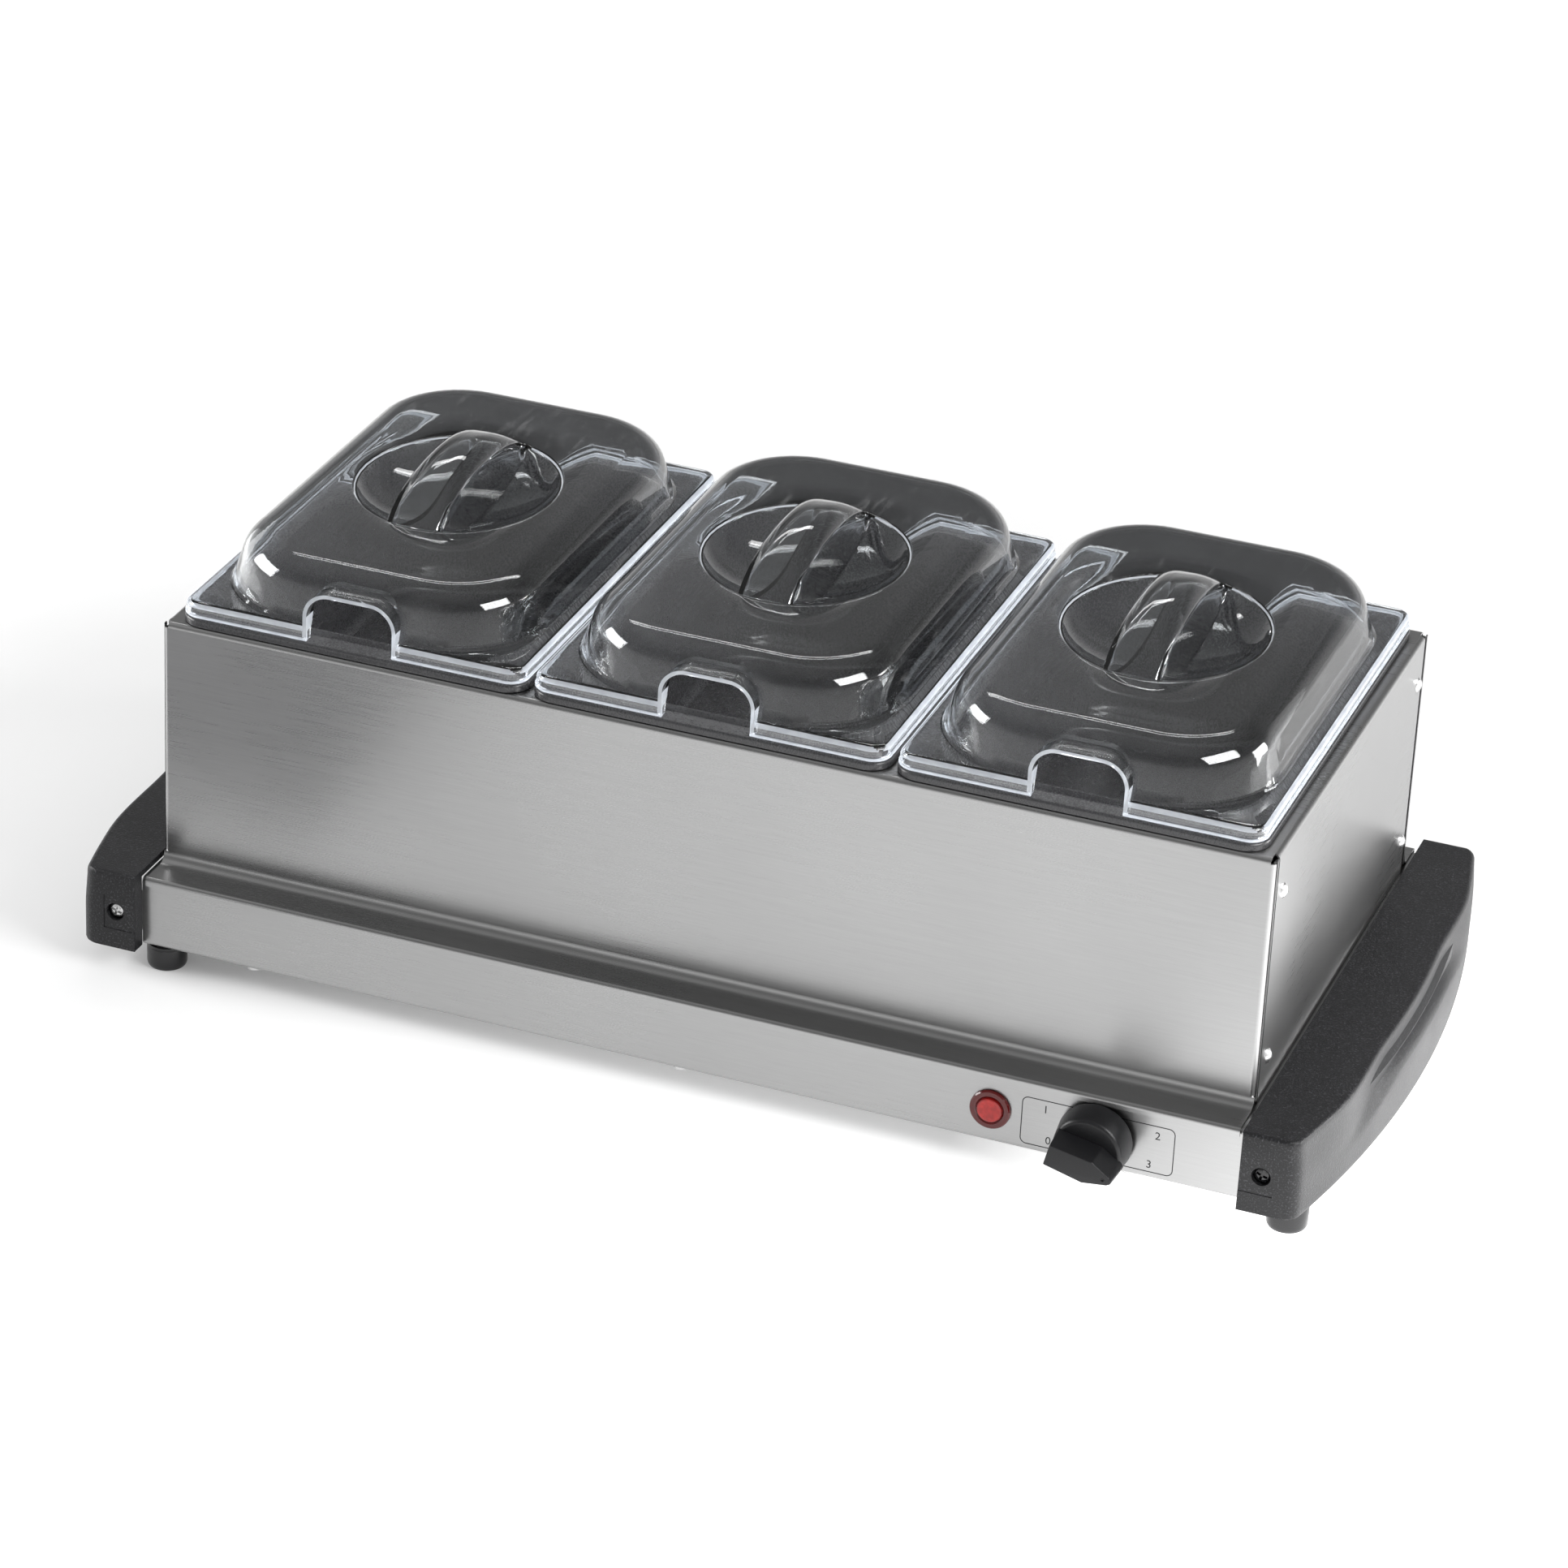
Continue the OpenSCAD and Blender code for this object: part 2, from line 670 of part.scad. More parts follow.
// Four leads: two to the thermostat, one to the lamp, and one back to the thermal fuse
module internal_wires() color("firebrick") translate([0, mid_y, 0]) {
    first_x = block_pos[0] + block_way / 2;
    last_x = first_x + 2 * block_way;
    front = block_pos[1] - 1;
    back = rear_y - 14;
    for (i = [0, 1]) {
        x = first_x + i * block_way;
        tab_x = knob_x + (2 * i - 1) * terminal_tab_x;
        lead([[x, front, lead_z], [x, front_y + 60 + 10 * i, lead_z],
            [tab_x, lead_tab_y[0], lead_z], [tab_x, lead_tab_y[1], lead_z + 5]]);
    }
    lead([[first_x - 4, front_y + 75, lead_z], [lamp_x, lead_tab_y[0], lead_z],
        [lamp_x, front_y + 24, lead_z + 4]]);
    lead([[last_x, block_pos[1] + block_size[1] + 1, lead_z], [last_x, back, lead_z],
        [lead_return_x, back, lead_z], [lead_return_x, 20, lead_z], [lead_return_x, 4, tray_top_z - 6]]);
}

module cable_gland() color("#161616") translate([gland_x, mid_y + rear_y, gland_z]) difference() {
    union() {
        translate([0, fit, 0]) rod_y(gland_d, gland_flange_h);
        translate([0, 2, 0]) rotate([-90, 0, 0])
            cylinder(d1 = gland_cone_d[0], d2 = gland_cone_d[1], h = gland_out - 2);
        translate([0, -gland_tail, 0]) rod_y(gland_thread_d, gland_tail + 1);
    }
    translate([0, -gland_tail - 1, 0]) rod_y(cord_hole_d, gland_out + gland_tail + 2);
}

module gland_nut() color("#161616") translate([gland_x, mid_y + rear_y - sheet - fit, gland_z])
    rotate([90, 0, 0]) difference() {
        cylinder(d = gland_nut_af / cos(30), h = gland_nut_h, $fn = 6);
        translate([0, 0, -1]) cylinder(d = gland_thread_d + stack_gap, h = gland_nut_h + 2);
    }

// --- Serving frame -------------------------------------------------------------------------------

// Side view of the front half: ledge with its lip, concave bend, and the bend into the deck
module ledge_profile() {
    panel_y = -frame_d / 2;
    lip_y = panel_y - ledge;
    translate([panel_y - ledge_r, ledge_z + ledge_r]) quarter_bend(ledge_r + sheet, sheet, 1, -1);
    translate([lip_y + lip_r, ledge_z - sheet]) square([ledge - lip_r - ledge_r, sheet]);
    translate([lip_y + lip_r, ledge_z - lip_r]) quarter_bend(lip_r, sheet, -1, 1);
    translate([lip_y, ledge_z - lip_drop]) square([sheet, lip_drop - lip_r]);
}

module deck_profile(half, full) {
    translate([-half + bend_r, deck_z - bend_r]) quarter_bend(bend_r, sheet, -1, 1);
    translate([-half + bend_r, deck_z - sheet]) square([full ? half - bend_r : bend_r, sheet]);
}

module frame_shell() color("silver") translate([0, mid_y, 0]) {
    panel_low = ledge_z + ledge_r;
    panel_high = deck_z - bend_r;
    difference() {
        for (face = [0, 180]) rotate([0, 0, face]) {
            along_x(frame_l - 2 * bend_r) deck_profile(frame_d / 2, true);
            along_x(frame_l) ledge_profile();
            translate([-frame_l / 2 + bend_r, -frame_d / 2, panel_low])
                cube([frame_l - 2 * bend_r, sheet, panel_high - panel_low]);
            for (side = [0, 1]) mirror([side, 0, 0])
                translate([frame_l / 2 - bend_r, -frame_d / 2 + bend_r, panel_low]) {
                    linear_extrude(panel_high - panel_low) quarter_bend(bend_r, sheet, 1, -1);
                    translate([bend_r - sheet - 1, 0, 0])
                        cube([sheet, side_set + return_w, panel_high - panel_low]);
                    translate([bend_r - sheet - 1, -0.4, 0]) cube([1, 0.8, panel_high - panel_low]);
                }
            rotate([0, 0, 90]) {
                along_x(frame_d - 2 * side_set) deck_profile(frame_l / 2, false);
                translate([-frame_d / 2 + side_set, -frame_l / 2, ledge_z - sheet])
                    cube([frame_d - 2 * side_set, sheet, panel_high - ledge_z + sheet]);
            }
        }
        for (column = [-1:1])
            translate([column * pitch, 0, deck_z - drill / 2])
                linear_extrude(drill) rounded_rect(opening_w, opening_d, opening_r);
        for (side = [-1, 1], face = [-1, 1], z = rivet_z)
            translate([side * (frame_l / 2) - 6, face * (face > 0 ? rear_rivet_y : rivet_y), z])
                rotate([0, 90, 0]) cylinder(d = rivet_hole_d, h = 12);
    }
}

// Domed rivets through the side panels and the returns of the front and rear panels
module frame_rivets() color("gainsboro") translate([0, mid_y, 0]) {
    dome_radius = (pow(rivet_d / 2, 2) + pow(rivet_h, 2)) / (2 * rivet_h);
    for (side = [0, 1], face = [-1, 1], z = rivet_z) mirror([side, 0, 0])
        translate([frame_l / 2, face * (face > 0 ? rear_rivet_y : rivet_y), z]) rotate([0, 90, 0]) {
            intersection() {
                translate([0, 0, rivet_h - dome_radius + fit / 2]) sphere(r = dome_radius);
                translate([0, 0, fit / 2]) cylinder(d = rivet_d + 1, h = rivet_h);
            }
            translate([0, 0, -rivet_l]) cylinder(d = rivet_shank_d, h = rivet_l + fit);
            translate([0, 0, -rivet_l]) cylinder(d = rivet_tail_d, h = rivet_tail_h);
        }
}

// --- Pans ----------------------------------------------------------------------------------------

// Rings that walk up the outside of the pan, over the rim and down the inside
module pan() {
    body_w = pan_w - 2 * rim_w;
    body_d = pan_d - 2 * rim_w;
    low = deck_z - pan_depth;
    top = deck_z + rim_h;
    under = deck_z + gap + rim_wall;
    b = pan_bottom_r;
    function wall(inset, z) = [body_w - 2 * inset, body_d - 2 * inset, pan_r - inset * 0.8, z];
    function rim(inset, z) = [pan_w - 2 * inset, pan_d - 2 * inset, pan_rim_r - inset, z];
    function foot(angle, t) = wall(pan_draft + t + b * (1 - sin(angle)), low + t + b * (1 - cos(angle)));
    loft(concat(
        [for (angle = [0:30:90]) foot(angle, 0)],
        [wall(0, under),
        rim(rim_wall, under),
        rim(rim_wall, deck_z + gap),
        rim(0, deck_z + gap),
        rim(0, top - 1.4),
        rim(0.4, top - 0.4),
        rim(1.4, top),
        wall(-bead_w, top),
        wall(-bead_w + 0.6, top + bead_h),
        wall(0.2, top + bead_h),
        wall(pan_wall, top - 0.6)],
        [for (angle = [90:-30:0]) foot(angle, pan_wall)]));
}

module left_pan() color("#262626") translate([-pitch, mid_y, 0]) pan();
module middle_pan() color("#262626") translate([0, mid_y, 0]) pan();
module right_pan() color("#262626") translate([pitch, mid_y, 0]) pan();

// --- Lids ----------------------------------------------------------------------------------------

// Rings of the dome from its foot to its flat top, pulled in by t
function dome(t) =
    let (centre_z = dome_h - shoulder_r,
        wall_top = centre_z + shoulder_r * sin(dome_lean),
        wall_inset = (wall_top - flange_z) * tan(dome_lean),
        centre_inset = wall_inset + shoulder_r * cos(dome_lean),
        w = lid_w - 2 * flange_side,
        d = lid_d - 2 * flange_front,
        steps = 4)
    concat([[w - 2 * t, d - 2 * t, dome_r - t, deck_z + flange_z - t]],
        [for (i = [0:steps])
            let (a = dome_lean + (90 - dome_lean) * i / steps,
                inset = centre_inset - (shoulder_r - t) * cos(a))
            [w - 2 * inset, d - 2 * inset, dome_r - inset, deck_z + centre_z + (shoulder_r - t) * sin(a)]]);

// Everything inside the lid's outer surface, without the bridge
module lid_outside()
    loft(concat([
        [lid_w - 1, lid_d - 1, lid_r, deck_z + lip_z],
        [lid_w, lid_d, lid_r, deck_z + lip_z + 0.5],
        [lid_w, lid_d, lid_r, deck_z + flange_z - 1.5],
        [lid_w - 1.6, lid_d - 1.6, lid_r - 0.8, deck_z + flange_z - 0.01]], dome(0)));

// The hollow under the lid
module lid_inside() {
    t = lid_wall;
    loft(concat([
        [lid_w - 2 * t, lid_d - 2 * t, lid_r - t, deck_z + lip_z - 1],
        [lid_w - 2 * t, lid_d - 2 * t, lid_r - t, deck_z + flange_z - t - 0.01]], dome(t)));
}

// Oval bowl for the fingers, cut into the top of the dome
module well(extra) {
    spread = 1 / sqrt(1 - pow(well_raise / (well_raise + well_depth), 2));
    translate([0, 0, deck_z + dome_h + well_raise])
        scale([well_rx * spread + extra, well_ry * spread + extra, well_raise + well_depth + extra])
            sphere(r = 1, $fn = 48);
}

// Arched bridge from the front of the well to the back, pulled in by t
module bridge(t, floor_z) {
    half = well_ry - 2;
    arch_r = (pow(half, 2) + pow(bridge_h, 2)) / (2 * bridge_h);
    sweep = asin(half / arch_r) + 6;
    arch_z = deck_z + dome_h + bridge_h - arch_r;
    arc = [for (i = [-bridge_steps:bridge_steps])
        let (a = sweep * i / bridge_steps)
        [(arch_r - t) * sin(a), arch_z + (arch_r - t) * cos(a)]];
    end = arc[2 * bridge_steps][0];
    along_x(bridge_w - 2 * t) polygon(concat([[end, deck_z + floor_z], [-end, deck_z + floor_z]], arc));
}

// Arched notch for a serving spoon, through the front wall
module notch() {
    top = deck_z + lip_z + notch_h;
    translate([0, -lid_d / 2 - 5, 0]) rotate([-90, 0, 0]) linear_extrude(30) mirror([0, 1]) {
        translate([-notch_w / 2, deck_z]) square([notch_w, top - notch_r - deck_z]);
        translate([-notch_w / 2 + notch_r, deck_z]) square([notch_w - 2 * notch_r, top - deck_z]);
        for (side = [-1, 1])
            translate([side * (notch_w / 2 - notch_r), top - notch_r]) circle(notch_r, $fn = 32);
    }
}

module lid() {
    well_floor = dome_h - well_depth;
    difference() {
        union() {
            difference() {
                lid_outside();
                well(0);
            }
            bridge(0, well_floor - 1);
        }
        difference() {
            lid_inside();
            well(lid_wall);
        }
        bridge(lid_wall, well_floor - 6);
        notch();
    }
}

module left_lid() color("aliceblue", 0.4) translate([-pitch, mid_y, 0]) lid();
module middle_lid() color("aliceblue", 0.4) translate([0, mid_y, 0]) lid();
module right_lid() color("aliceblue", 0.4) translate([pitch, mid_y, 0]) lid();

base_shell();
bottom_cover();
cover_screws();
left_handle();
right_handle();
handle_screws();
front_left_foot();
front_right_foot();
rear_left_foot();
rear_right_foot();
foot_screws();
upper_mica_sheet();
heating_ribbon();
lower_mica_sheet();
insulation_pad();
heater_tray();
heater_studs();
heater_nuts();
thermostat_body();
thermostat_nut();
thermostat_shaft();
control_knob();
pilot_lamp_lens();
pilot_lamp_holder();
thermal_fuse();
terminal_block();
terminal_screws();
internal_wires();
cable_gland();
gland_nut();
frame_shell();
frame_rivets();
left_pan();
middle_pan();
right_pan();
left_lid();
middle_lid();
right_lid();
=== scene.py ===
"""Looks of the electric buffet server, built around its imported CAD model.

Lengths are in millimetres in the row frame (+X right, +Y back, +Z up) and are scaled to metres
when a mesh is made. The frame, base and hardware keep their CAD meshes and get new materials;
lids, pans, handles and their screws, knob, lamp lens and feet are replaced by finer meshes of the
same size. The seams at the frame's corners and the printed dial are added.
"""

import json
import math

import bmesh
import bpy
from mathutils import Matrix, Vector


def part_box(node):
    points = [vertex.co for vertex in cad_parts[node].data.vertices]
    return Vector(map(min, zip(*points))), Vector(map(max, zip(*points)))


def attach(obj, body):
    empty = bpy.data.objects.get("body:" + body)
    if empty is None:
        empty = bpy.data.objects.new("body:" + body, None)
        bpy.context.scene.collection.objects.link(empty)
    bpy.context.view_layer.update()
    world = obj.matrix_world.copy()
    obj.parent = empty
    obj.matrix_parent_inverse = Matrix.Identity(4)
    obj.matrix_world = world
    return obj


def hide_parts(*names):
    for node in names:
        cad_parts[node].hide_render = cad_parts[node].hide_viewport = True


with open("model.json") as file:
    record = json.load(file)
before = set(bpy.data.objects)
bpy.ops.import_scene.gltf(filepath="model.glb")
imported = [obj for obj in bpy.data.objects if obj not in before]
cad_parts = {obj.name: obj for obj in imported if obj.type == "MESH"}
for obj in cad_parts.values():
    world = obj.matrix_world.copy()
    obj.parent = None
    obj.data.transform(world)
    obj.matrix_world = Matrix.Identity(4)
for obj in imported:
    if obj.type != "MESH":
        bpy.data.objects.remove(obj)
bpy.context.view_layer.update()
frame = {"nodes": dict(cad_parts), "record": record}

MM = 0.001
COLUMNS = ("left", "middle", "right")

# Camera
CAMERA_PLACE = (779.6, -2200.4, 1309.4)
CAMERA_AZIMUTH = 19.531
CAMERA_ELEVATION = 27.493
CAMERA_ROLL = 2.886
CAMERA_LENS = 132.39
CAMERA_SENSOR = 36.0


def corners(node):
    """Lowest and highest corner of a CAD node, in millimetres."""
    return [[round(v / MM, 2) for v in corner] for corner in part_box(node)]


def centre(node):
    return [(low + high) / 2 for low, high in zip(*corners(node))]


# Places taken from the CAD nodes
(_, FRONT_Y, BASE_Z), _ = corners("base_shell")
MID_Y = centre("base_shell")[1]
DECK_Z = corners("frame_shell")[1][2]
PITCH = centre("right_lid")[0]
(HANDLE_X, HANDLE_FRONT, _), (HANDLE_OUT, HANDLE_REAR, HANDLE_TOP) = corners("right_handle")
HANDLE_HALF = (HANDLE_REAR - HANDLE_FRONT) / 2
KNOB_X, _, KNOB_Z = centre("thermostat_shaft")
LAMP_X, _, LAMP_Z = centre("pilot_lamp_lens")
FOOT_X = (centre("front_left_foot")[0], centre("front_right_foot")[0])
FOOT_Y = centre("rear_left_foot")[1] - MID_Y

# Sizes that the finer meshes share with the CAD shapes
LID_W, LID_D, LID_R = 166.5, 240.0, 9.0
LIP_Z, FLANGE_Z = 4.2, 11.2
DOME_SIDE, DOME_FRONT, DOME_R = 7.0, 4.0, 48.0
DOME_H, DOME_LEAN, SHOULDER_R = 37.0, 17.0, 15.0
LID_WALL = 2.0
WELL_RX, WELL_RY, WELL_DEPTH, WELL_RAISE = 46.0, 53.0, 14.0, 5.0
WELL_SPREAD = 1 / math.sqrt(1 - (WELL_RAISE / (WELL_RAISE + WELL_DEPTH)) ** 2)
BRIDGE_HALF, BRIDGE_H, BRIDGE_REACH = 13.0, 20.0, 51.0
NOTCH_W, NOTCH_H, NOTCH_R, NOTCH_BAND = 41.5, 23.0, 11.0, 1.8

PAN_W, PAN_D, PAN_DEPTH, PAN_RIM_H = 167.5, 241.5, 64.0, 3.9
PAN_BODY_W, PAN_BODY_D, PAN_R = 143.5, 217.5, 33.0

HANDLE_BULGE_R = 623.4
HANDLE_WALL, HANDLE_END = 3.0, 8.0
HANDLE_SCREW = (272.5, 31.0)
BORE_R = 2.1

KNOB_ANGLE = 13.0
KNOB_GAP, KNOB_SKIRT, KNOB_OUT = 2.4, 13.5, 30.0

# Printed dial and corner seams
DIAL_X, DIAL_Z, DIAL_W, DIAL_H, DIAL_R, DIAL_LINE = 196.5, 27.7, 69.0, 22.8, 2.6, 0.42
DIAL_NUMBERS = (("1", -24, 6.6), ("2", 27, 6.2), ("3", 24, -8.6), ("0", -22, -8.6))
DIAL_NUMBER_SIZE, INK = 5.4, 0.05
SEAM_X, SEAM_Y, SEAM_RISE, SEAM_DROP = 260.0, 122.0, 38.0, 1.0

# Radius that stands for the axis in turned profiles
AXIS_R = 0.001


# --- Materials -------------------------------------------------------------------------------------

class Nodes:
    """A material's node tree, with short calls for the nodes that all the finishes share."""

    def __init__(self, name, **sockets):
        self.material = bpy.data.materials.new(name)
        self.material.use_nodes = True
        self.tree = self.material.node_tree
        self.shader = self.tree.nodes["Principled BSDF"]
        for socket, value in sockets.items():
            self.shader.inputs[socket.replace("_", " ")].default_value = value
        self.coordinates = self.tree.nodes.new("ShaderNodeTexCoord").outputs["Object"]

    def link(self, output, socket):
        self.tree.links.new(output, socket)

    def noise(self, scale, detail=2.0, stretch=(1, 1, 1), roughness=0.5):
        mapping = self.tree.nodes.new("ShaderNodeMapping")
        mapping.inputs["Scale"].default_value = stretch
        self.link(self.coordinates, mapping.inputs["Vector"])
        node = self.tree.nodes.new("ShaderNodeTexNoise")
        node.inputs["Scale"].default_value = scale
        node.inputs["Detail"].default_value = detail
        node.inputs["Roughness"].default_value = roughness
        self.link(mapping.outputs["Vector"], node.inputs["Vector"])
        return node.outputs["Fac"]

    def ramp(self, value, low, high, to_low, to_high):
        """Maps value from low..high to to_low..to_high, clamped."""
        node = self.tree.nodes.new("ShaderNodeMapRange")
        ends = {"From Min": low, "From Max": high, "To Min": to_low, "To Max": to_high}
        for socket, number in ends.items():
            node.inputs[socket].default_value = number
        self.link(value, node.inputs["Value"])
        return node.outputs["Result"]

    def math(self, operation, a, b=None):
        node = self.tree.nodes.new("ShaderNodeMath")
        node.operation = operation
        for socket, value in zip(node.inputs, (a, b)):
            if isinstance(value, (int, float)):
                socket.default_value = value
            elif value is not None:
                self.link(value, socket)
        return node.outputs["Value"]

    def mix(self, factor, a, b):
        """Colour or vector mix of two RGBA values or outputs."""
        node = self.tree.nodes.new("ShaderNodeMix")
        node.data_type = "RGBA"
        self.link(factor, node.inputs["Factor"])
        for socket, value in zip((node.inputs[6], node.inputs[7]), (a, b)):
            if isinstance(value, tuple):
                socket.default_value = value
            else:
                self.link(value, socket)
        return node.outputs[2]

    def bump(self, height, strength, distance):
        node = self.tree.nodes.new("ShaderNodeBump")
        node.inputs["Strength"].default_value = strength
        node.inputs["Distance"].default_value = distance
        self.link(height, node.inputs["Height"])
        self.link(node.outputs["Normal"], self.shader.inputs["Normal"])

    def distance(self, point):
        """Distance of the shaded place from a point given in metres."""
        node = self.tree.nodes.new("ShaderNodeVectorMath")
        node.operation = "DISTANCE"
        node.inputs[1].default_value = point
        self.link(self.coordinates, node.inputs[0])
        return node.outputs["Value"]

    def facing_side(self):
        """1 on surfaces that face left or right, 0 elsewhere."""
        geometry = self.tree.nodes.new("ShaderNodeNewGeometry")
        split = self.tree.nodes.new("ShaderNodeSeparateXYZ")
        self.link(geometry.outputs["Normal"], split.inputs["Vector"])
        return self.ramp(self.math("ABSOLUTE", split.outputs["X"]), 0.55, 0.75, 0, 1)


def grey(value):
    return (value, value, value, 1)


def shade(colour, factor):
    """Colour made lighter or darker, at most white."""
    return tuple(min(1.0, c * factor) for c in colour[:3]) + (1,)


def brushed_steel(name, base, roughness, anisotropy, line_strength):
    """Sheet steel with long fine brush lines along X, or along Y where it faces left or right."""
    n = Nodes(name, Metallic=1.0, Anisotropic=anisotropy, Anisotropic_Rotation=0.25)
    side = n.facing_side()
    fine = n.mix(side, n.noise(2600, 3, (0.02, 1, 1)), n.noise(2600, 3, (1, 0.02, 1)))
    broad = n.mix(side, n.noise(700, 2, (0.02, 1, 1)), n.noise(700, 2, (1, 0.02, 1)))
    lines = n.math("ADD", n.math("MULTIPLY", fine, 0.75), n.math("MULTIPLY", broad, 0.25))
    smudge = n.noise(7, 3)
    tone = n.mix(n.ramp(lines, 0.3, 0.7, 0, 1), grey(base * 0.95), grey(base * 1.05))
    tone = n.mix(n.ramp(smudge, 0.35, 0.8, 0, 0.3), tone, grey(base * 0.88))
    n.link(tone, n.shader.inputs["Base Color"])
    n.link(n.math("ADD", n.ramp(lines, 0.3, 0.7, roughness - 0.02, roughness + 0.02),
                  n.ramp(smudge, 0.3, 0.7, -0.02, 0.03)), n.shader.inputs["Roughness"])
    n.bump(lines, line_strength, 0.0001)
    return n.material


def plain_metal(name, base, roughness):
    """Turned or stamped metal with faint scratches and slight tarnish."""
    n = Nodes(name, Metallic=1.0)
    tarnish = n.noise(220, 4)
    n.link(n.mix(n.ramp(tarnish, 0.35, 0.7, 0, 1), grey(base), grey(base * 0.8)),
           n.shader.inputs["Base Color"])
    n.link(n.ramp(tarnish, 0.3, 0.7, roughness - 0.06, roughness + 0.08), n.shader.inputs["Roughness"])
    n.bump(n.noise(2500, 2, (1, 0.2, 1)), 0.08, 0.0001)
    return n.material


def textured_plastic(name, base, roughness, grain, depth, peak_glint, specular=0.5):
    """Moulded plastic with a spark-eroded grain: small bumps, pale painted glints on the bumps' peaks and soft
    unevenness.
    """
    n = Nodes(name, Specular_IOR_Level=specular)
    bumps = n.noise(grain, 3, roughness=0.6)
    wear = n.noise(25, 3)
    # Painted glints: the grain's peaks are made pale, as if they caught the light
    tone = n.mix(n.ramp(bumps, 0.54, 0.70, 0, peak_glint), base, shade(base, 7))
    tone = n.mix(n.ramp(wear, 0.35, 0.75, 0, 0.3), tone, shade(base, 1.35))
    n.link(tone, n.shader.inputs["Base Color"])
    n.link(n.math("ADD", n.ramp(bumps, 0.3, 0.7, roughness - 0.05, roughness + 0.07),
                  n.ramp(wear, 0.3, 0.7, -0.03, 0.03)), n.shader.inputs["Roughness"])
    n.bump(bumps, depth, 0.00025)
    return n.material


def clear_plastic(name):
    """Clear polycarbonate with the faint haze and handling scratches of a used lid."""
    n = Nodes(name, IOR=1.55, Roughness=0.02, Transmission_Weight=1.0, Base_Color=(0.93, 0.945, 0.955, 1))
    scratches = n.noise(300, 4, (1, 0.15, 1))
    n.link(n.ramp(scratches, 0.55, 0.8, 0.008, 0.09), n.shader.inputs["Roughness"])
    n.bump(n.noise(45, 2), 0.05, 0.0006)
    return n.material


def glint_paint_material(name):
    """The lids' rounded edges: a pale, partly clear finish that paints on the glints that clear plastic's edges
    gather from the light.
    """
    n = Nodes(name, IOR=1.5, Transmission_Weight=0.55)
    pale = n.noise(120, 3)
    n.link(n.mix(n.ramp(pale, 0.35, 0.7, 0, 1), (0.86, 0.90, 0.96, 1), (0.66, 0.70, 0.76, 1)),
           n.shader.inputs["Base Color"])
    n.link(n.ramp(pale, 0.3, 0.7, 0.10, 0.22), n.shader.inputs["Roughness"])
    n.bump(pale, 0.05, 0.0003)
    return n.material


def red_lens(name):
    """Translucent red lens with a glossy skin, darker outside its raised middle."""
    n = Nodes(name, Roughness=0.14, IOR=1.5, Transmission_Weight=0.25, Coat_Weight=0.15, Coat_Roughness=0.06)
    cloud = n.noise(350, 3)
    ring = n.ramp(n.distance((LAMP_X * MM, FRONT_Y * MM, LAMP_Z * MM)), 5.6 * MM, 6.3 * MM, 0, 1)
    middle = n.mix(n.ramp(cloud, 0.35, 0.7, 0, 1), (0.34, 0.004, 0.003, 1), (0.55, 0.012, 0.008, 1))
    n.link(n.mix(ring, middle, (0.10, 0.002, 0.002, 1)), n.shader.inputs["Base Color"])
    n.bump(cloud, 0.1, 0.0003)
    return n.material


def fibre(name, base, roughness, scale, depth):
    """Dull mineral or plastic stock for the hidden parts, with its own grain."""
    n = Nodes(name)
    grain = n.noise(scale, 4)
    n.link(n.mix(n.ramp(grain, 0.35, 0.7, 0, 1), base, shade(base, 0.78)), n.shader.inputs["Base Color"])
    n.link(n.ramp(grain, 0.3, 0.7, roughness - 0.08, roughness + 0.08), n.shader.inputs["Roughness"])
    n.bump(grain, depth, 0.0004)
    return n.material


FINISH = {
    "brushed_steel": brushed_steel("brushed_steel", 0.385, 0.28, 0.55, 0.035),
    "inner_steel": plain_metal("inner_steel", 0.42, 0.42),
    "screw_steel": plain_metal("screw_steel", 0.62, 0.24),
    "rivet_metal": plain_metal("rivet_metal", 0.68, 0.28),
    "black_plastic": textured_plastic("black_plastic", (0.010, 0.010, 0.011, 1), 0.40, 1150, 0.8, 0.8, 0.30),
    "foot_plastic": textured_plastic("foot_plastic", (0.008, 0.008, 0.009, 1), 0.16, 700, 0.08, 0.05),
    "knob_plastic": textured_plastic("knob_plastic", (0.008, 0.008, 0.009, 1), 0.36, 2400, 0.12, 0.10, 0.35),
    "red_lens": red_lens("red_lens"),
    "mica": fibre("mica", (0.45, 0.38, 0.24, 1), 0.35, 260, 0.15),
    "resistance_ribbon": plain_metal("resistance_ribbon", 0.35, 0.4),
    "ceramic_fibre": fibre("ceramic_fibre", (0.8, 0.79, 0.75, 1), 0.9, 900, 0.5),
    "ceramic": fibre("ceramic", (0.62, 0.52, 0.36, 1), 0.5, 500, 0.15),
    "lead_insulation": fibre("lead_insulation", (0.45, 0.07, 0.04, 1), 0.5, 1200, 0.3),
    "white_plastic": fibre("white_plastic", (0.78, 0.77, 0.72, 1), 0.4, 600, 0.08),
    "pan_coating": textured_plastic("pan_coating", (0.034, 0.034, 0.036, 1), 0.27, 1300, 0.16, 0.12),
    "clear_plastic": clear_plastic("clear_plastic"),
    # Painted glints for the lids' edge faces
    "painted_edge_glint": glint_paint_material("painted_edge_glint"),
}

for part in frame["record"]["subparts"]:
    slots = frame["nodes"][part["node"]].data.materials
    if not slots:
        slots.append(None)
    for i in range(len(slots)):
        slots[i] = FINISH[part["material_slot"]]


# --- Mesh helpers ----------------------------------------------------------------------------------

def add_object(name, data):
    """Object with the given data, put into the scene."""
    made = bpy.data.objects.new(name, data)
    bpy.context.scene.collection.objects.link(made)
    return made


def weld(mesh, dist):
    """Merges points closer than dist (metres) and turns all normals outwards."""
    b = bmesh.new()
    b.from_mesh(mesh)
    bmesh.ops.remove_doubles(b, verts=b.verts, dist=dist)
    bmesh.ops.recalc_face_normals(b, faces=b.faces)
    b.to_mesh(mesh)
    b.free()


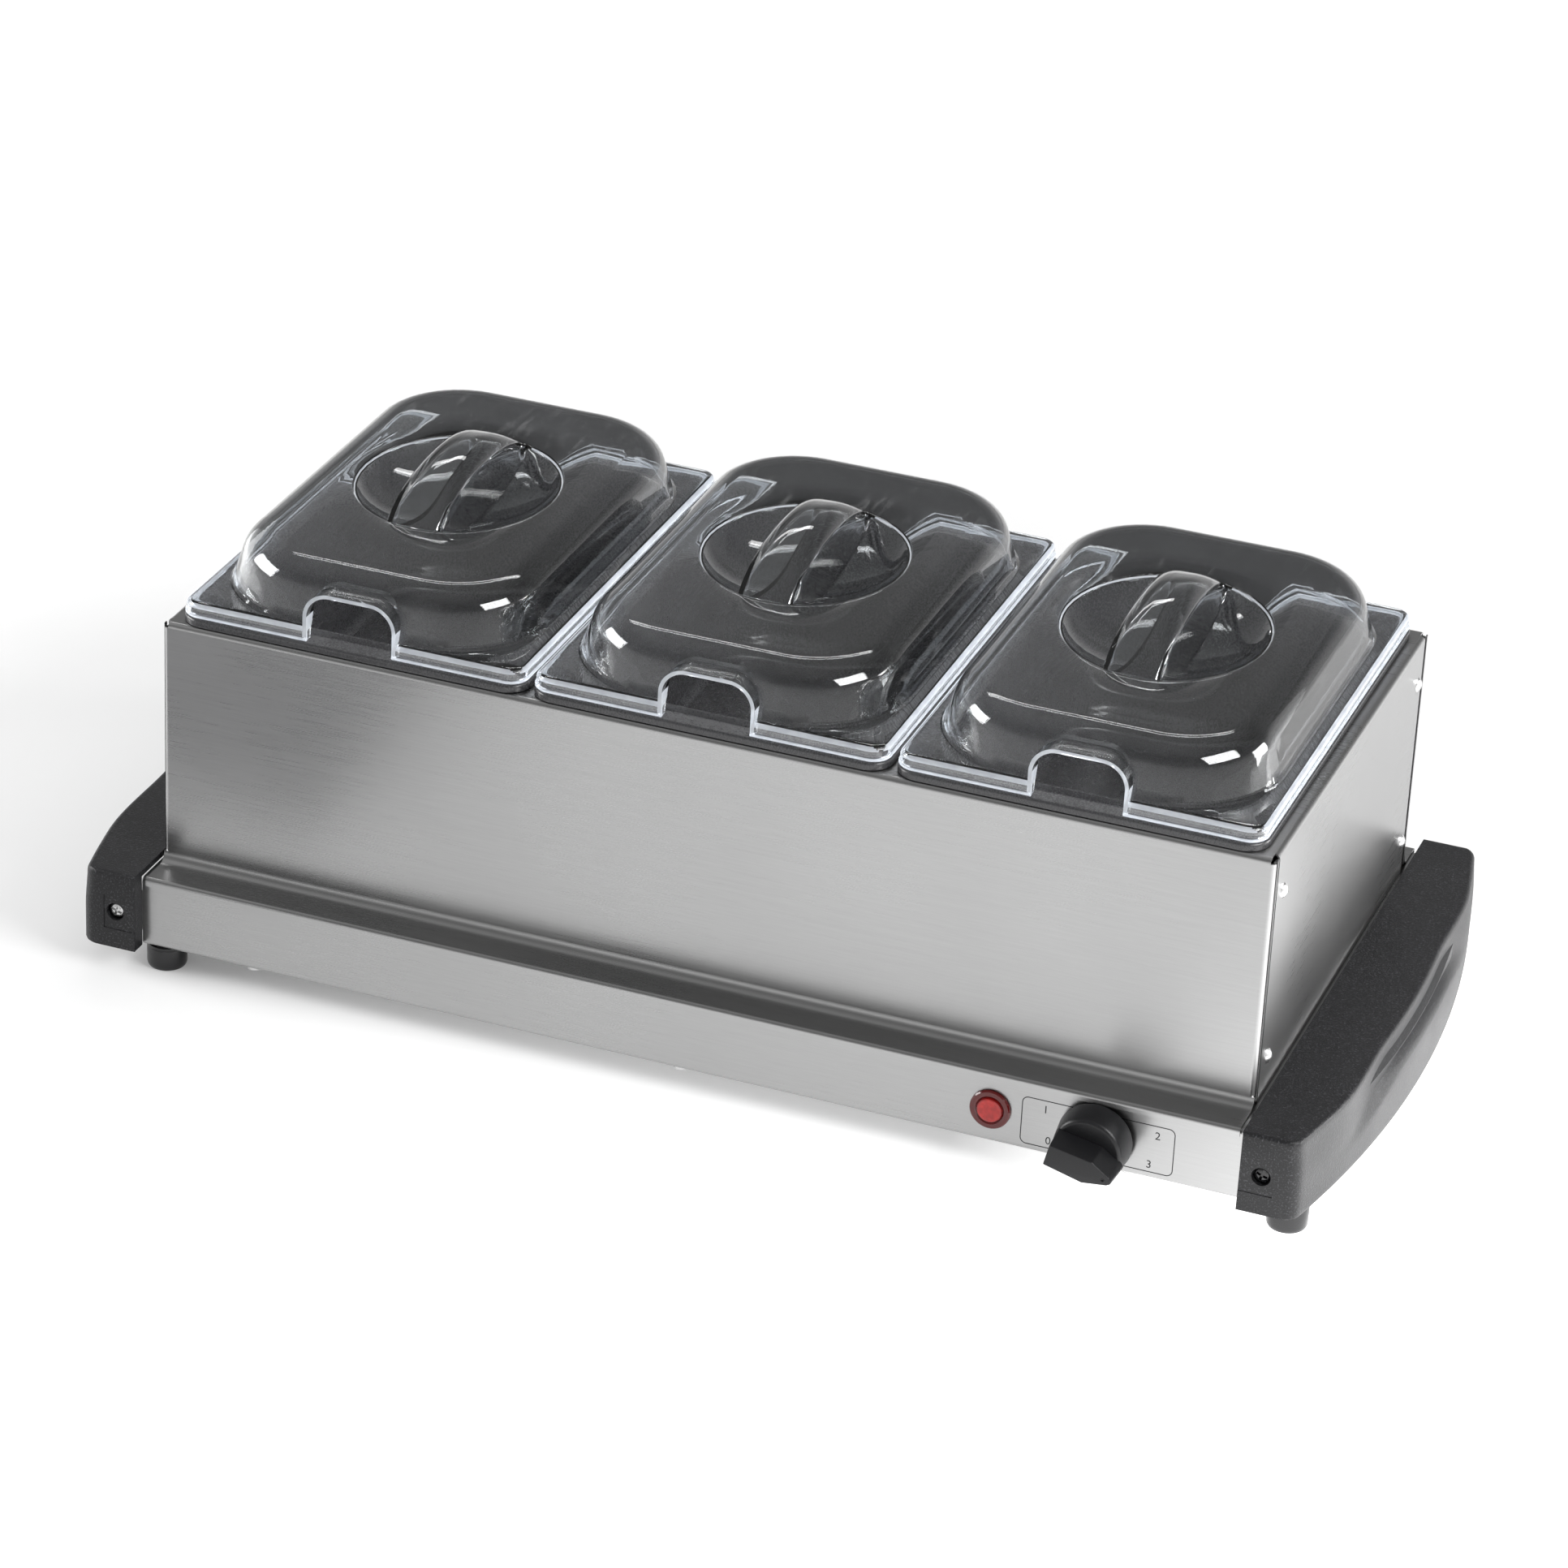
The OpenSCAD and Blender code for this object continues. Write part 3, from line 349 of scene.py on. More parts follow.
def new_object(name, verts, faces, place=(0, 0, 0)):
    """Mesh object from points in millimetres, with outward normals, at place."""
    mesh = bpy.data.meshes.new(name)
    mesh.from_pydata([(Vector(v) + Vector(place)) * MM for v in verts], [], faces)
    weld(mesh, 1e-7)
    return add_object(name, mesh)


def finish_piece(piece, slot, body, replaced=(), sharp=32):
    """Smooth shading, finish, and the piece's place in the model."""
    mesh = piece.data
    mesh.polygons.foreach_set("use_smooth", [True] * len(mesh.polygons))
    mesh.set_sharp_from_angle(angle=math.radians(sharp))
    mesh.materials.clear()
    mesh.materials.append(FINISH[slot])
    if replaced:
        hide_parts(*replaced)
    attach(piece, body)


def loft(sections, closed=False):
    """Points and faces through rings of the same count; ends are capped unless closed."""
    count = len(sections[0])
    verts = [p for s in sections for p in s]
    faces = []
    for k in range(len(sections) - (0 if closed else 1)):
        low, high = k * count, (k + 1) % len(sections) * count
        faces += [(low + i, low + (i + 1) % count, high + (i + 1) % count, high + i)
                  for i in range(count)]
    if not closed:
        faces += [tuple(range(count))[::-1], tuple(range(len(verts) - count, len(verts)))]
    return verts, faces


def revolve(profile, axis, count=64):
    """Closed solid from (radius, height) points turned about an axis; height runs along the axis."""
    spin = {"y": lambda r, h, a: (r * math.cos(a), h, r * math.sin(a)),
            "z": lambda r, h, a: (r * math.cos(a), r * math.sin(a), h)}[axis]
    rings = [[spin(r, h, 2 * math.pi * i / count) for i in range(count)] for r, h in profile]
    return loft(rings, closed=True)


def box_solid(low, high):
    """Closed box between two corners."""
    outline = ((low[0], low[1]), (high[0], low[1]), (high[0], high[1]), (low[0], high[1]))
    return loft([[(x, y, z) for x, y in outline] for z in (low[2], high[2])])


def boolean(target, cutter, operation):
    """Exact boolean of two objects; the cutter is used up."""
    modifier = target.modifiers.new("boolean", "BOOLEAN")
    modifier.operation = operation
    modifier.solver = "EXACT"
    modifier.object = cutter
    graph = bpy.context.evaluated_depsgraph_get()
    mesh = bpy.data.meshes.new_from_object(target.evaluated_get(graph))
    target.modifiers.clear()
    target.data = mesh
    bpy.data.objects.remove(cutter)


def arc(cx, cy, r, start, end, steps):
    """Points of an arc in degrees, both ends included."""
    angles = [math.radians(start + (end - start) * i / steps) for i in range(steps + 1)]
    return [(cx + r * math.cos(a), cy + r * math.sin(a)) for a in angles]


# Signs of the four corners, counterclockwise
QUARTERS = ((1, 1), (-1, 1), (-1, -1), (1, -1))


def rounded_ring(w, d, r, z):
    """Rounded rectangle at height z, with the same number of points for every size."""
    corner_steps, x_steps, y_steps = 12, 10, 14
    points = []
    for quarter, (sx, sy) in enumerate(QUARTERS):
        points += arc(sx * (w / 2 - r), sy * (d / 2 - r), r, 90 * quarter, 90 * quarter + 90, corner_steps)
        start = points[-1]
        next_x, next_y = QUARTERS[(quarter + 1) % 4]
        if quarter % 2 == 0:
            end, steps = (next_x * (w / 2 - r), start[1]), x_steps
        else:
            end, steps = (start[0], next_y * (d / 2 - r)), y_steps
        points += [tuple(a + (b - a) * i / steps for a, b in zip(start, end)) for i in range(1, steps)]
    return [(x, y, z) for x, y in points]


def oval_ring(rx, ry, z, like):
    """Oval at height z, with one point towards each point of the ring that it is lofted to."""
    angles = [math.atan2(y / ry, x / rx) for x, y, _ in like]
    return [(rx * math.cos(a), ry * math.sin(a), z) for a in angles]


# --- Lids ------------------------------------------------------------------------------------------

def dome_rings(t):
    """Rings of the dome from its foot to its flat top, pulled in by t."""
    lean = math.radians(DOME_LEAN)
    centre_z = DOME_H - SHOULDER_R
    wall_top = centre_z + SHOULDER_R * math.sin(lean)
    centre_inset = (wall_top - FLANGE_Z) * math.tan(lean) + SHOULDER_R * math.cos(lean)
    w, d = LID_W - 2 * DOME_SIDE, LID_D - 2 * DOME_FRONT
    fillet_share = 0.08
    rings = []
    for share in (0.0, fillet_share, 0.35, 0.7):
        inset = t + share * (wall_top - FLANGE_Z) * math.tan(lean)
        fillet = 0.9 * (1 - share / fillet_share) if share < fillet_share else 0
        rings.append((w - 2 * inset + 2 * fillet, d - 2 * inset + 2 * fillet, DOME_R - inset,
                      FLANGE_Z - t + share * (wall_top - FLANGE_Z + t)))
    shoulder_steps = 10
    for i in range(shoulder_steps + 1):
        a = lean + (math.pi / 2 - lean) * i / shoulder_steps
        inset = centre_inset - (SHOULDER_R - t) * math.cos(a)
        z = centre_z + (SHOULDER_R - t) * math.sin(a)
        rings.append((w - 2 * inset, d - 2 * inset, DOME_R - inset, z))
    return [rounded_ring(*r) for r in rings]


def bowl_rings(t, like):
    """Rings from the bowl's rim to its lowest point, grown outwards by t."""
    a, b, c = WELL_RX * WELL_SPREAD + t, WELL_RY * WELL_SPREAD + t, WELL_RAISE + WELL_DEPTH + t
    rim = math.sqrt(1 - ((WELL_RAISE + t) / c) ** 2)
    rings = []
    for share in (1.0, 0.985, 0.96, 0.92, 0.86, 0.78, 0.68, 0.56, 0.42, 0.27, 0.12, 0.02):
        k = share * rim
        rings.append(oval_ring(a * k, b * k, DOME_H + WELL_RAISE - c * math.sqrt(1 - k * k), like))
    return rings


def between(a, b, share, z):
    """Ring at height z, a share of the way from ring a to ring b."""
    return [(p[0] + (q[0] - p[0]) * share, p[1] + (q[1] - p[1]) * share, z) for p, q in zip(a, b)]


def lid_skin():
    """The whole lid wall without bridge and notch: down the outside, under the lip, up the inside."""
    t = LID_WALL
    outer = dome_rings(0)
    inner = dome_rings(t)
    bowl = bowl_rings(0, outer[-1])
    under = bowl_rings(t, inner[-1])
    rim_out = oval_ring(WELL_RX + 1.6, WELL_RY + 1.6, DOME_H, outer[-1])
    rim_mid = oval_ring(WELL_RX + 0.7, WELL_RY + 0.7, DOME_H - 0.25, outer[-1])
    top = [between(outer[-1], rim_out, s, DOME_H) for s in (0.12, 0.5)] + [rim_out, rim_mid]
    bowl[0] = oval_ring(WELL_RX + 0.1, WELL_RY + 0.1, DOME_H - 0.9, outer[-1])
    ceiling = [between(inner[-1], under[0], s, DOME_H - t) for s in (0.12, 0.5)]

    def flange(*rows):
        """Rings from rows of inset, smaller corner radius and height."""
        return [rounded_ring(LID_W - 2 * i, LID_D - 2 * i, LID_R - r, z) for i, r, z in rows]

    outside = flange((0.0, 0, LIP_Z + 0.5), (0.0, 0, LIP_Z + 1.5), (0.5, 0.4, LIP_Z + 2.1),
                     (0.6, 0.5, FLANGE_Z - 2.4), (0.8, 0.7, FLANGE_Z - 1.6), (1.3, 1.2, FLANGE_Z - 1.0),
                     (2.1, 1.9, FLANGE_Z - 0.6), (3.2, 2.8, FLANGE_Z - 0.25))
    inside = flange((0.4, 0.4, LIP_Z), (t - 0.4, t - 0.4, LIP_Z), (t, t, LIP_Z + 0.4),
                    (t, t, FLANGE_Z - t - 0.8), (t + 0.8, t + 0.8, FLANGE_Z - t))
    return loft(bowl[::-1] + top[::-1] + outer[::-1] + outside[::-1] + inside + inner + ceiling + under)


def bridge_height(x, y, t):
    """Height of the bridge's skin: an arch along Y, rounded off towards its sides near the middle."""
    arch_r = (BRIDGE_REACH ** 2 + BRIDGE_H ** 2) / (2 * BRIDGE_H)
    share = min(1.0, abs(y) / BRIDGE_REACH)
    droop = 0.8 + 6.5 * math.cos(share * math.pi / 2) ** 1.5
    across = min(1.0, abs(x) / (BRIDGE_HALF - t))
    arch = math.sqrt((arch_r - t) ** 2 - min(y * y, (arch_r - t) ** 2 * 0.98))
    return DOME_H + BRIDGE_H - arch_r + arch - droop * across ** 3.2


def bowl_height(x, y):
    """Height of the bowl's upper surface, carried on above its rim."""
    k = math.hypot(x / WELL_RX, y / WELL_RY) / WELL_SPREAD
    return DOME_H + WELL_RAISE - (WELL_RAISE + WELL_DEPTH) * math.sqrt(max(0.0, 1 - k * k))


def bridge_solid(t, reach):
    """Solid under the bridge's skin pulled in by t: down into the bowl's wall, or through it if t > 0."""
    half = BRIDGE_HALF - t
    steps = 32
    shares = (0.0, 0.2, 0.4, 0.6, 0.78, 0.9, 0.97, 1.0)
    xs = [half * s for s in [-v for v in shares[:0:-1]] + list(shares)]
    sections = []
    for i in range(steps + 1):
        y = reach * (2 * i / steps - 1)
        top = [(x, y, bridge_height(x, y, t) - (0.5 if abs(x) == half else 0)) for x in xs]
        if t:
            floor = DOME_H - 2 * WELL_DEPTH
        else:
            floor = min(bowl_height(half, y) - 1, DOME_H - 1, top[0][2] - 0.3)
        sections.append(top + [(half, y, floor), (-half, y, floor)])
    return loft(sections)


def notch_outline(grow):
    """Round-cornered arch of the spoon notch as (x, z), grown outwards and open below the lip."""
    w, r = NOTCH_W / 2 + grow, NOTCH_R + grow
    top, low = LIP_Z + NOTCH_H + grow, -4.0
    return [(w, low)] + arc(w - r, top - r, r, 0, 90, 10) + arc(r - w, top - r, r, 90, 180, 10) + [(-w, low)]


def notch_collar():
    """Thin collar that runs from the dome's sloping wall out to the front of the lip, round the notch."""
    front = -LID_D / 2 + 0.3
    slope = math.tan(math.radians(DOME_LEAN))
    shoulder_rise, shoulder_slope = 12, 0.9

    def back(z):
        rise = max(0.0, z - FLANGE_Z)
        return front + DOME_FRONT + 0.7 + rise * slope + max(0.0, rise - shoulder_rise) * shoulder_slope

    inner, outer = notch_outline(0.0), notch_outline(NOTCH_BAND)
    low = LIP_Z + 0.2
    sections = []
    for (xi, zi), (xo, zo) in zip(inner, outer):
        zi, zo = max(zi, low), max(zo, low)
        sections.append([(xi, front, zi), (xo, front, zo), (xo, back(zo), zo), (xi, back(zi), zi)])
    return loft(sections)


def gets_painted_glint(point):
    """Whether a point of the lid lies on its lip's edges, the notch's band or cut, or the bowl's rim: the faces
    where the glint is painted.
    """
    x, y, z = point
    side, top, near = NOTCH_W / 2, LIP_Z + NOTCH_H, 0.02
    outside = max(abs(x) - LID_W / 2, abs(y) - LID_D / 2)
    lip = z < LIP_Z + 1.2 or (FLANGE_Z - 2.2 < z < FLANGE_Z - 0.5 and outside > -2.4)
    band = y < -LID_D / 2 + 1.0 and abs(x) < side + NOTCH_BAND + 0.1 and z < top + NOTCH_BAND + 0.1
    cut = (y < -LID_D / 2 + 3.5 and z > LIP_Z + 0.5 and abs(x) < side + near
           and (abs(abs(x) - side) < near or abs(z - top) < near))
    oval = math.hypot(x / WELL_RX, y / WELL_RY)
    rim = DOME_H - 0.85 < z < DOME_H - 0.3 and 0.99 < oval < 1.03 and abs(x) > BRIDGE_HALF
    return lip or band or cut or rim


def make_lids():
    """The three lids share one mesh recipe: wall, bridge, hollow, collar and notch.

    They cast no shadow, so that the pans inside are lit as through clear plastic.
    """
    skin = lid_skin()
    front = -LID_D / 2 - 4
    notch = loft([[(x, y, z) for x, z in notch_outline(0.0)] for y in (front, front + 26)])
    steps = (("bridge", bridge_solid(0, BRIDGE_REACH + 0.7), "UNION"),
             ("hollow", bridge_solid(LID_WALL, BRIDGE_REACH + 1), "DIFFERENCE"),
             ("collar", notch_collar(), "UNION"),
             ("notch", notch, "DIFFERENCE"))
    for k, column in enumerate(COLUMNS):
        place = ((k - 1) * PITCH, MID_Y, DECK_Z)
        lid = new_object(column + "_clear_lid", *skin, place)
        for name, solid, operation in steps:
            boolean(lid, new_object(name, *solid, place), operation)
        finish_piece(lid, "clear_plastic", column + "_lid_body", [column + "_lid"])
        lid.visible_shadow = False
        # Edge faces get the second finish, with painted glints
        lid.data.materials.append(FINISH["painted_edge_glint"])
        for face in lid.data.polygons:
            face.material_index = int(gets_painted_glint(face.center / MM - Vector(place)))


# --- Pans ------------------------------------------------------------------------------------------

def make_pans():
    """Three pressed pans: drawn body, flat rim with a turned-down edge, and a raised bead inside it."""
    wall_t, draft, foot_r = 1.2, 5.0, 5.0
    low, top = -PAN_DEPTH, PAN_RIM_H
    gap, rim_wall, rim_r, edge_r = 0.3, 1.2, 11.0, 1.4
    floor_inset = 30

    def wall(inset, z):
        return rounded_ring(PAN_BODY_W - 2 * inset, PAN_BODY_D - 2 * inset, PAN_R - inset * 0.8, z)

    def rim(inset, z):
        return rounded_ring(PAN_W - 2 * inset, PAN_D - 2 * inset, rim_r - inset, z)

    def foot(angle, t):
        a = math.radians(angle)
        return wall(draft + t + foot_r * (1 - math.sin(a)), low + t + foot_r * (1 - math.cos(a)))

    turns = [90 * i / 8 for i in range(9)]
    outside = [wall(floor_inset, low)] + [foot(a, 0) for a in turns] + [wall(0.4, -2)]
    under = gap + rim_wall
    edge = [wall(0, under), rim(rim_wall, under), rim(rim_wall, gap), rim(0.1, gap), rim(0, gap + 0.3)]
    edge += [rim(edge_r - x, top - edge_r + z) for x, z in arc(0, 0, edge_r, 0, 90, 6)]
    bead = [wall(-3.4, top), wall(-2.6, top + 0.2), wall(-1.9, top + 1.7), wall(-1.4, top + 2.2),
            wall(-0.4, top + 2.2), wall(0.4, top + 1.8), wall(wall_t, top - 0.6), wall(wall_t + 0.4, -2)]
    inside = [foot(a, wall_t) for a in turns[::-1]] + [wall(floor_inset + wall_t, low + wall_t)]
    skin = loft(outside + edge + bead + inside)
    for k, column in enumerate(COLUMNS):
        pan = new_object(column + "_coated_pan", *skin, ((k - 1) * PITCH, MID_Y, DECK_Z))
        finish_piece(pan, "pan_coating", column + "_pan_body", [column + "_pan"])


# --- Handles ---------------------------------------------------------------------------------------

def smooth(low, high, value):
    """Soft step from 0 at low to 1 at high."""
    t = min(1.0, max(0.0, (value - low) / (high - low)))
    return t * t * (3 - 2 * t)


def handle_section(y):
    """Section of the right handle, y from its middle: top, rounded crest, scooped outer face, inside."""
    low_z, in_x = BASE_Z, HANDLE_X
    end = HANDLE_HALF - abs(y)
    corner_r, edge_r, crest_r = 5.0, 1.6, 2.6
    corner = corner_r - math.sqrt(max(0.0, corner_r ** 2 - max(0.0, corner_r - end) ** 2))
    edge = edge_r - math.sqrt(max(0.0, edge_r ** 2 - max(0.0, edge_r - end) ** 2))
    out_x = HANDLE_OUT - HANDLE_BULGE_R + math.sqrt(HANDLE_BULGE_R ** 2 - y * y) - corner
    top_z = HANDLE_TOP - edge
    scoop = 5.4 * (1 - smooth(42, 108, abs(y)))
    ridge_z = 22 + 15 * (1 - smooth(30, 112, abs(y)))

    def face_x(z):
        return out_x - scoop * smooth(ridge_z, ridge_z + 7, z) - 1.2 * smooth(30, top_z, z)

    crest_x, crest_z = face_x(top_z) - crest_r, top_z - crest_r
    points = [(in_x + edge * 0.3, top_z), (in_x + 0.5 * (crest_x - in_x), top_z)]
    points += arc(crest_x, crest_z, crest_r, 90, 15, 5)
    low_edge = low_z + 1.2
    steps = 18
    heights = [crest_z + (low_edge - crest_z) * i / steps for i in range(steps + 1)]
    points += [(face_x(z), z) for z in heights]
    points += [(out_x - 0.35, low_z + 0.35), (out_x - 1.2, low_z)]
    wall_x = out_x - HANDLE_WALL
    if end > HANDLE_END:
        points += [(wall_x, low_z), (wall_x - 1, top_z - HANDLE_WALL - 6), (wall_x - 7, top_z - HANDLE_WALL),
                   (in_x, top_z - HANDLE_WALL)]
    else:
        points += [(in_x + (wall_x - in_x) * s, low_z) for s in (1.0, 0.66, 0.33, 0.0)]
    return [(x, y, z) for x, z in points]


def make_handles():
    """Hollow handles, solid at both ends, with a recess round each screw and posts for the right feet."""
    near_end = [0.0, 0.15, 0.5, 1.1, 2.0, 3.2, 5.0, HANDLE_END - 0.01, HANDLE_END + 0.01]
    half = [HANDLE_HALF - e for e in near_end]
    middle = [half[-1] - 6.64 * i for i in range(1, 42)]
    head_bore, shank_bore = (4.35, 4.0), (BORE_R, 14.0)
    post_r, post_top = 8, HANDLE_TOP - 2.5
    ys = sorted(set(round(y, 3) for y in [-h for h in half] + half + middle if abs(y) <= HANDLE_HALF))
    skin = loft([handle_section(y) for y in ys])
    for side, mark in ((-1, "left"), (1, "right")):
        handle = new_object(mark + "_moulded_handle", *skin, (0, MID_Y, 0))
        for face in (-1, 1):
            end_y = MID_Y + face * HANDLE_HALF
            screw_x, screw_z = HANDLE_SCREW
            patch_y = sorted((end_y + face, end_y - face * 0.3))
            patch = new_object("patch", *box_solid((HANDLE_X - 2, patch_y[0], BASE_Z + 9.5),
                                                   (HANDLE_X + 15.5, patch_y[1], BASE_Z + 26.5)))
            boolean(handle, patch, "DIFFERENCE")
            for r, depth in (head_bore, shank_bore):
                low, high = sorted((end_y + face, end_y - face * depth))
                bore = revolve([(AXIS_R, low), (r, low), (r, high), (AXIS_R, high)], "y", 40)
                boolean(handle, new_object("bore", *bore, (screw_x, 0, screw_z)), "DIFFERENCE")
            if side > 0:
                post = revolve([(BORE_R, BASE_Z), (post_r, BASE_Z), (post_r, post_top), (BORE_R, post_top)],
                               "z", 40)
                boolean(handle, new_object("post", *post, (FOOT_X[1], MID_Y + face * FOOT_Y, 0)), "UNION")
        if side < 0:
            handle.data.transform(Matrix.Scale(-1, 4, (1, 0, 0)))
            handle.data.flip_normals()
        finish_piece(handle, "black_plastic", "base", [mark + "_handle"])


# --- Knob, lamp, feet and dial ---------------------------------------------------------------------

def make_knob():
    """Skirt turned about Y with a rounded front edge, and a bevelled grip bar across its face."""
    gap, skirt_front, edge_r, cup_r = KNOB_GAP, -(KNOB_GAP + KNOB_SKIRT), 2.0, 14.0
    bevel, taper = 0.7, 0.955
    profile = [(16.0, -gap), (16.85, -gap - 0.3), (17.0, -gap - 1.0), (15.75, skirt_front + edge_r)]
    profile += [(13.7 + x, skirt_front + edge_r - y) for x, y in arc(0, 0, edge_r, 10, 90, 6)]
    profile += [(AXIS_R, skirt_front), (AXIS_R, -gap - 9.0), (cup_r, -gap - 9.0), (cup_r, -gap)]
    knob = new_object("pointer_knob", *revolve(profile, "y", 96))
    outline = [(-14.7, -5.5), (4.5, -6.2), (15.6, -2.2), (17.2, -0.8), (17.2, 0.8), (15.6, 2.2), (6.0, 6.2),
               (-14.7, 5.5)]
    base_y, top_y = skirt_front + 1.0, -KNOB_OUT
    bar = new_object("bar", *loft([[(x * s, y, z * s) for x, z in outline]
                                   for y, s in ((base_y, 1.0), (top_y, taper))]))
    b = bmesh.new()
    b.from_mesh(bar.data)
    rims = [e for e in b.edges if all(v.co.y < (base_y - 3) * MM for v in e.verts) or
            abs(e.verts[0].co.y - e.verts[1].co.y) > 5 * MM]
    bmesh.ops.bevel(b, geom=rims, offset=bevel * MM, segments=3, affect="EDGES", profile=0.6)
    b.to_mesh(bar.data)
    b.free()
    boolean(knob, bar, "UNION")
    pit = [(AXIS_R, top_y - 1), (0.9, top_y - 1), (0.9, top_y + 0.3), (0.4, top_y + 0.6), (AXIS_R, top_y + 0.6)]
    dimple = new_object("dimple", *revolve(pit, "y", 24), (12.6, 0, 0))
    boolean(knob, dimple, "DIFFERENCE")
    turn = Matrix.Rotation(math.radians(KNOB_ANGLE), 4, "Y")
    knob.data.transform(Matrix.Translation(Vector((KNOB_X, FRONT_Y, KNOB_Z)) * MM) @ turn)
    finish_piece(knob, "knob_plastic", "knob", ["control_knob"], sharp=28)


def make_screws():
    """Four pan-head handle screws with cross recesses: bright on the left, blackened on the right."""
    head = [(AXIS_R, 0.0), (1.6, -0.05), (2.9, -0.3), (3.6, -0.8), (3.95, -1.6), (4.0, -2.3), (2.0, -2.3),
            (2.0, -13.0), (AXIS_R, -13.5)]
    sunk, first_turn = 1.7, 0.35
    cross = box_solid((-2.6, -1.7, -0.6), (2.6, 1.7, 0.6))
    for side, mark, finish in ((-1, "left", "screw_steel"), (1, "right", "foot_plastic")):
        for face, row in ((-1, "front"), (1, "rear")):
            profile = [(r, h * face) for r, h in head]
            screw = new_object(f"{row}_{mark}_handle_screw", *revolve(profile, "y", 48))
            for turn in (first_turn, first_turn + math.pi / 2):
                groove = new_object("cross", *cross)
                groove.data.transform(Matrix.Rotation(turn, 4, "Y"))
                boolean(screw, groove, "DIFFERENCE")
            place = Vector((side * HANDLE_SCREW[0], MID_Y + face * (HANDLE_HALF - sunk), HANDLE_SCREW[1]))
            screw.data.transform(Matrix.Translation(place * MM))
            finish_piece(screw, finish, "base", ["handle_screws"])


def make_corner_seams():
    """Near-black strips painted as the shade in the gaps where the frame's side panels meet its front and back,
    with the sheet's bright edge.
    """
    low, high, half = BASE_Z + SEAM_RISE, DECK_Z - SEAM_DROP, 0.3
    for side, mark in ((-1, "left"), (1, "right")):
        for face, row in ((-1, "front"), (1, "rear")):
            corner_y = MID_Y + face * SEAM_Y
            # The gap strip is painted shade: black plastic where the seam is only a dark opening
            for name, start, end, stand, finish in (("gap", 1.5, 2.5, 0.06, "foot_plastic"),
                                                    ("fold", 2.5, 3.4, 0.22, "brushed_steel")):
                ys = sorted((corner_y - face * start, corner_y - face * end))
                strip = box_solid((side * SEAM_X - half, ys[0], low), (side * SEAM_X + half, ys[1], high))
                strip = new_object(f"{row}_{mark}_corner_{name}", *strip)
                strip.data.transform(Matrix.Translation((side * (stand - half) * MM, 0, 0)))
                finish_piece(strip, finish, "frame")


def make_lens():
    """Red lens: rounded bezel, groove, and a raised domed middle."""
    profile = [(7.0, 8.9), (7.0, 0.05), (9.1, -0.1), (9.4, -0.4), (9.3, -1.3), (8.8, -1.8), (7.4, -2.0),
               (6.6, -1.7), (6.1, -1.3), (5.9, -1.5), (5.7, -2.15), (5.0, -2.45), (3.0, -2.55),
               (AXIS_R, -2.6), (AXIS_R, 0.5), (5.5, 0.5), (5.5, 8.9)]
    lens = new_object("pilot_lens", *revolve(profile, "y", 72), (LAMP_X, FRONT_Y, LAMP_Z))
    finish_piece(lens, "red_lens", "base", ["pilot_lamp_lens"])


def make_feet():
    """Rubber feet: the left ones reach up to the bottom cover, the right ones to the handle's posts."""
    for x, side, gap in ((FOOT_X[0], "left", 0.9), (FOOT_X[1], "right", 0.1)):
        top = BASE_Z - gap
        profile = [(4.5, 0.0), (8.0, 0.0), (8.6, 0.25), (9.0, 0.9), (9.3, 2.2), (9.3, top - 1.6), (9.1, top - 1.2),
                   (8.9, top - 0.4), (8.9, top), (BORE_R, top), (BORE_R, 5.0), (4.3, 5.0), (4.5, 4.8)]
        for face, row in ((-1, "front"), (1, "rear")):
            place = (x, MID_Y + face * FOOT_Y, 0)
            foot = new_object(f"{row}_{side}_rubber_foot", *revolve(profile, "z", 56), place)
            finish_piece(foot, "foot_plastic", "base", [f"{row}_{side}_foot"])


def make_dial():
    """Printed dial on the front skirt: thin rounded outline and the numbers 0 to 3."""
    def outline(grow, y):
        r = DIAL_R + grow
        points = []
        for quarter, (sx, sz) in enumerate(QUARTERS):
            points += arc(DIAL_X + sx * (DIAL_W / 2 + grow - r), DIAL_Z + sz * (DIAL_H / 2 + grow - r), r,
                          90 * quarter, 90 * quarter + 90, 8)
        return [(x, y, z) for x, z in points]

    front, back = FRONT_Y - INK, FRONT_Y + INK
    ring = loft([outline(grow, y) for grow, y in ((0, back), (DIAL_LINE, back), (DIAL_LINE, front), (0, front))],
                closed=True)
    finish_piece(new_object("dial_outline", *ring), "knob_plastic", "base")
    for number, dx, dz in DIAL_NUMBERS:
        curve = bpy.data.curves.new("digit_" + number, "FONT")
        curve.body, curve.align_x, curve.align_y = number, "CENTER", "CENTER"
        curve.size, curve.extrude, curve.resolution_u = DIAL_NUMBER_SIZE * MM, INK * MM, 3
        text = add_object("digit_" + number, curve)
        mesh = bpy.data.meshes.new_from_object(text.evaluated_get(bpy.context.evaluated_depsgraph_get()))
        bpy.data.objects.remove(text)
        mesh.transform(Matrix.Translation(Vector((KNOB_X + dx, FRONT_Y, KNOB_Z + dz)) * MM)
                       @ Matrix.Rotation(math.pi / 2, 4, "X"))
        weld(mesh, 1e-6)
        finish_piece(add_object("dial_number_" + number, mesh), "knob_plastic", "base")


make_lids()
make_pans()
make_handles()
make_knob()
make_screws()
make_corner_seams()
make_lens()
make_feet()
make_dial()


# --- Floor, light and camera -----------------------------------------------------------------------

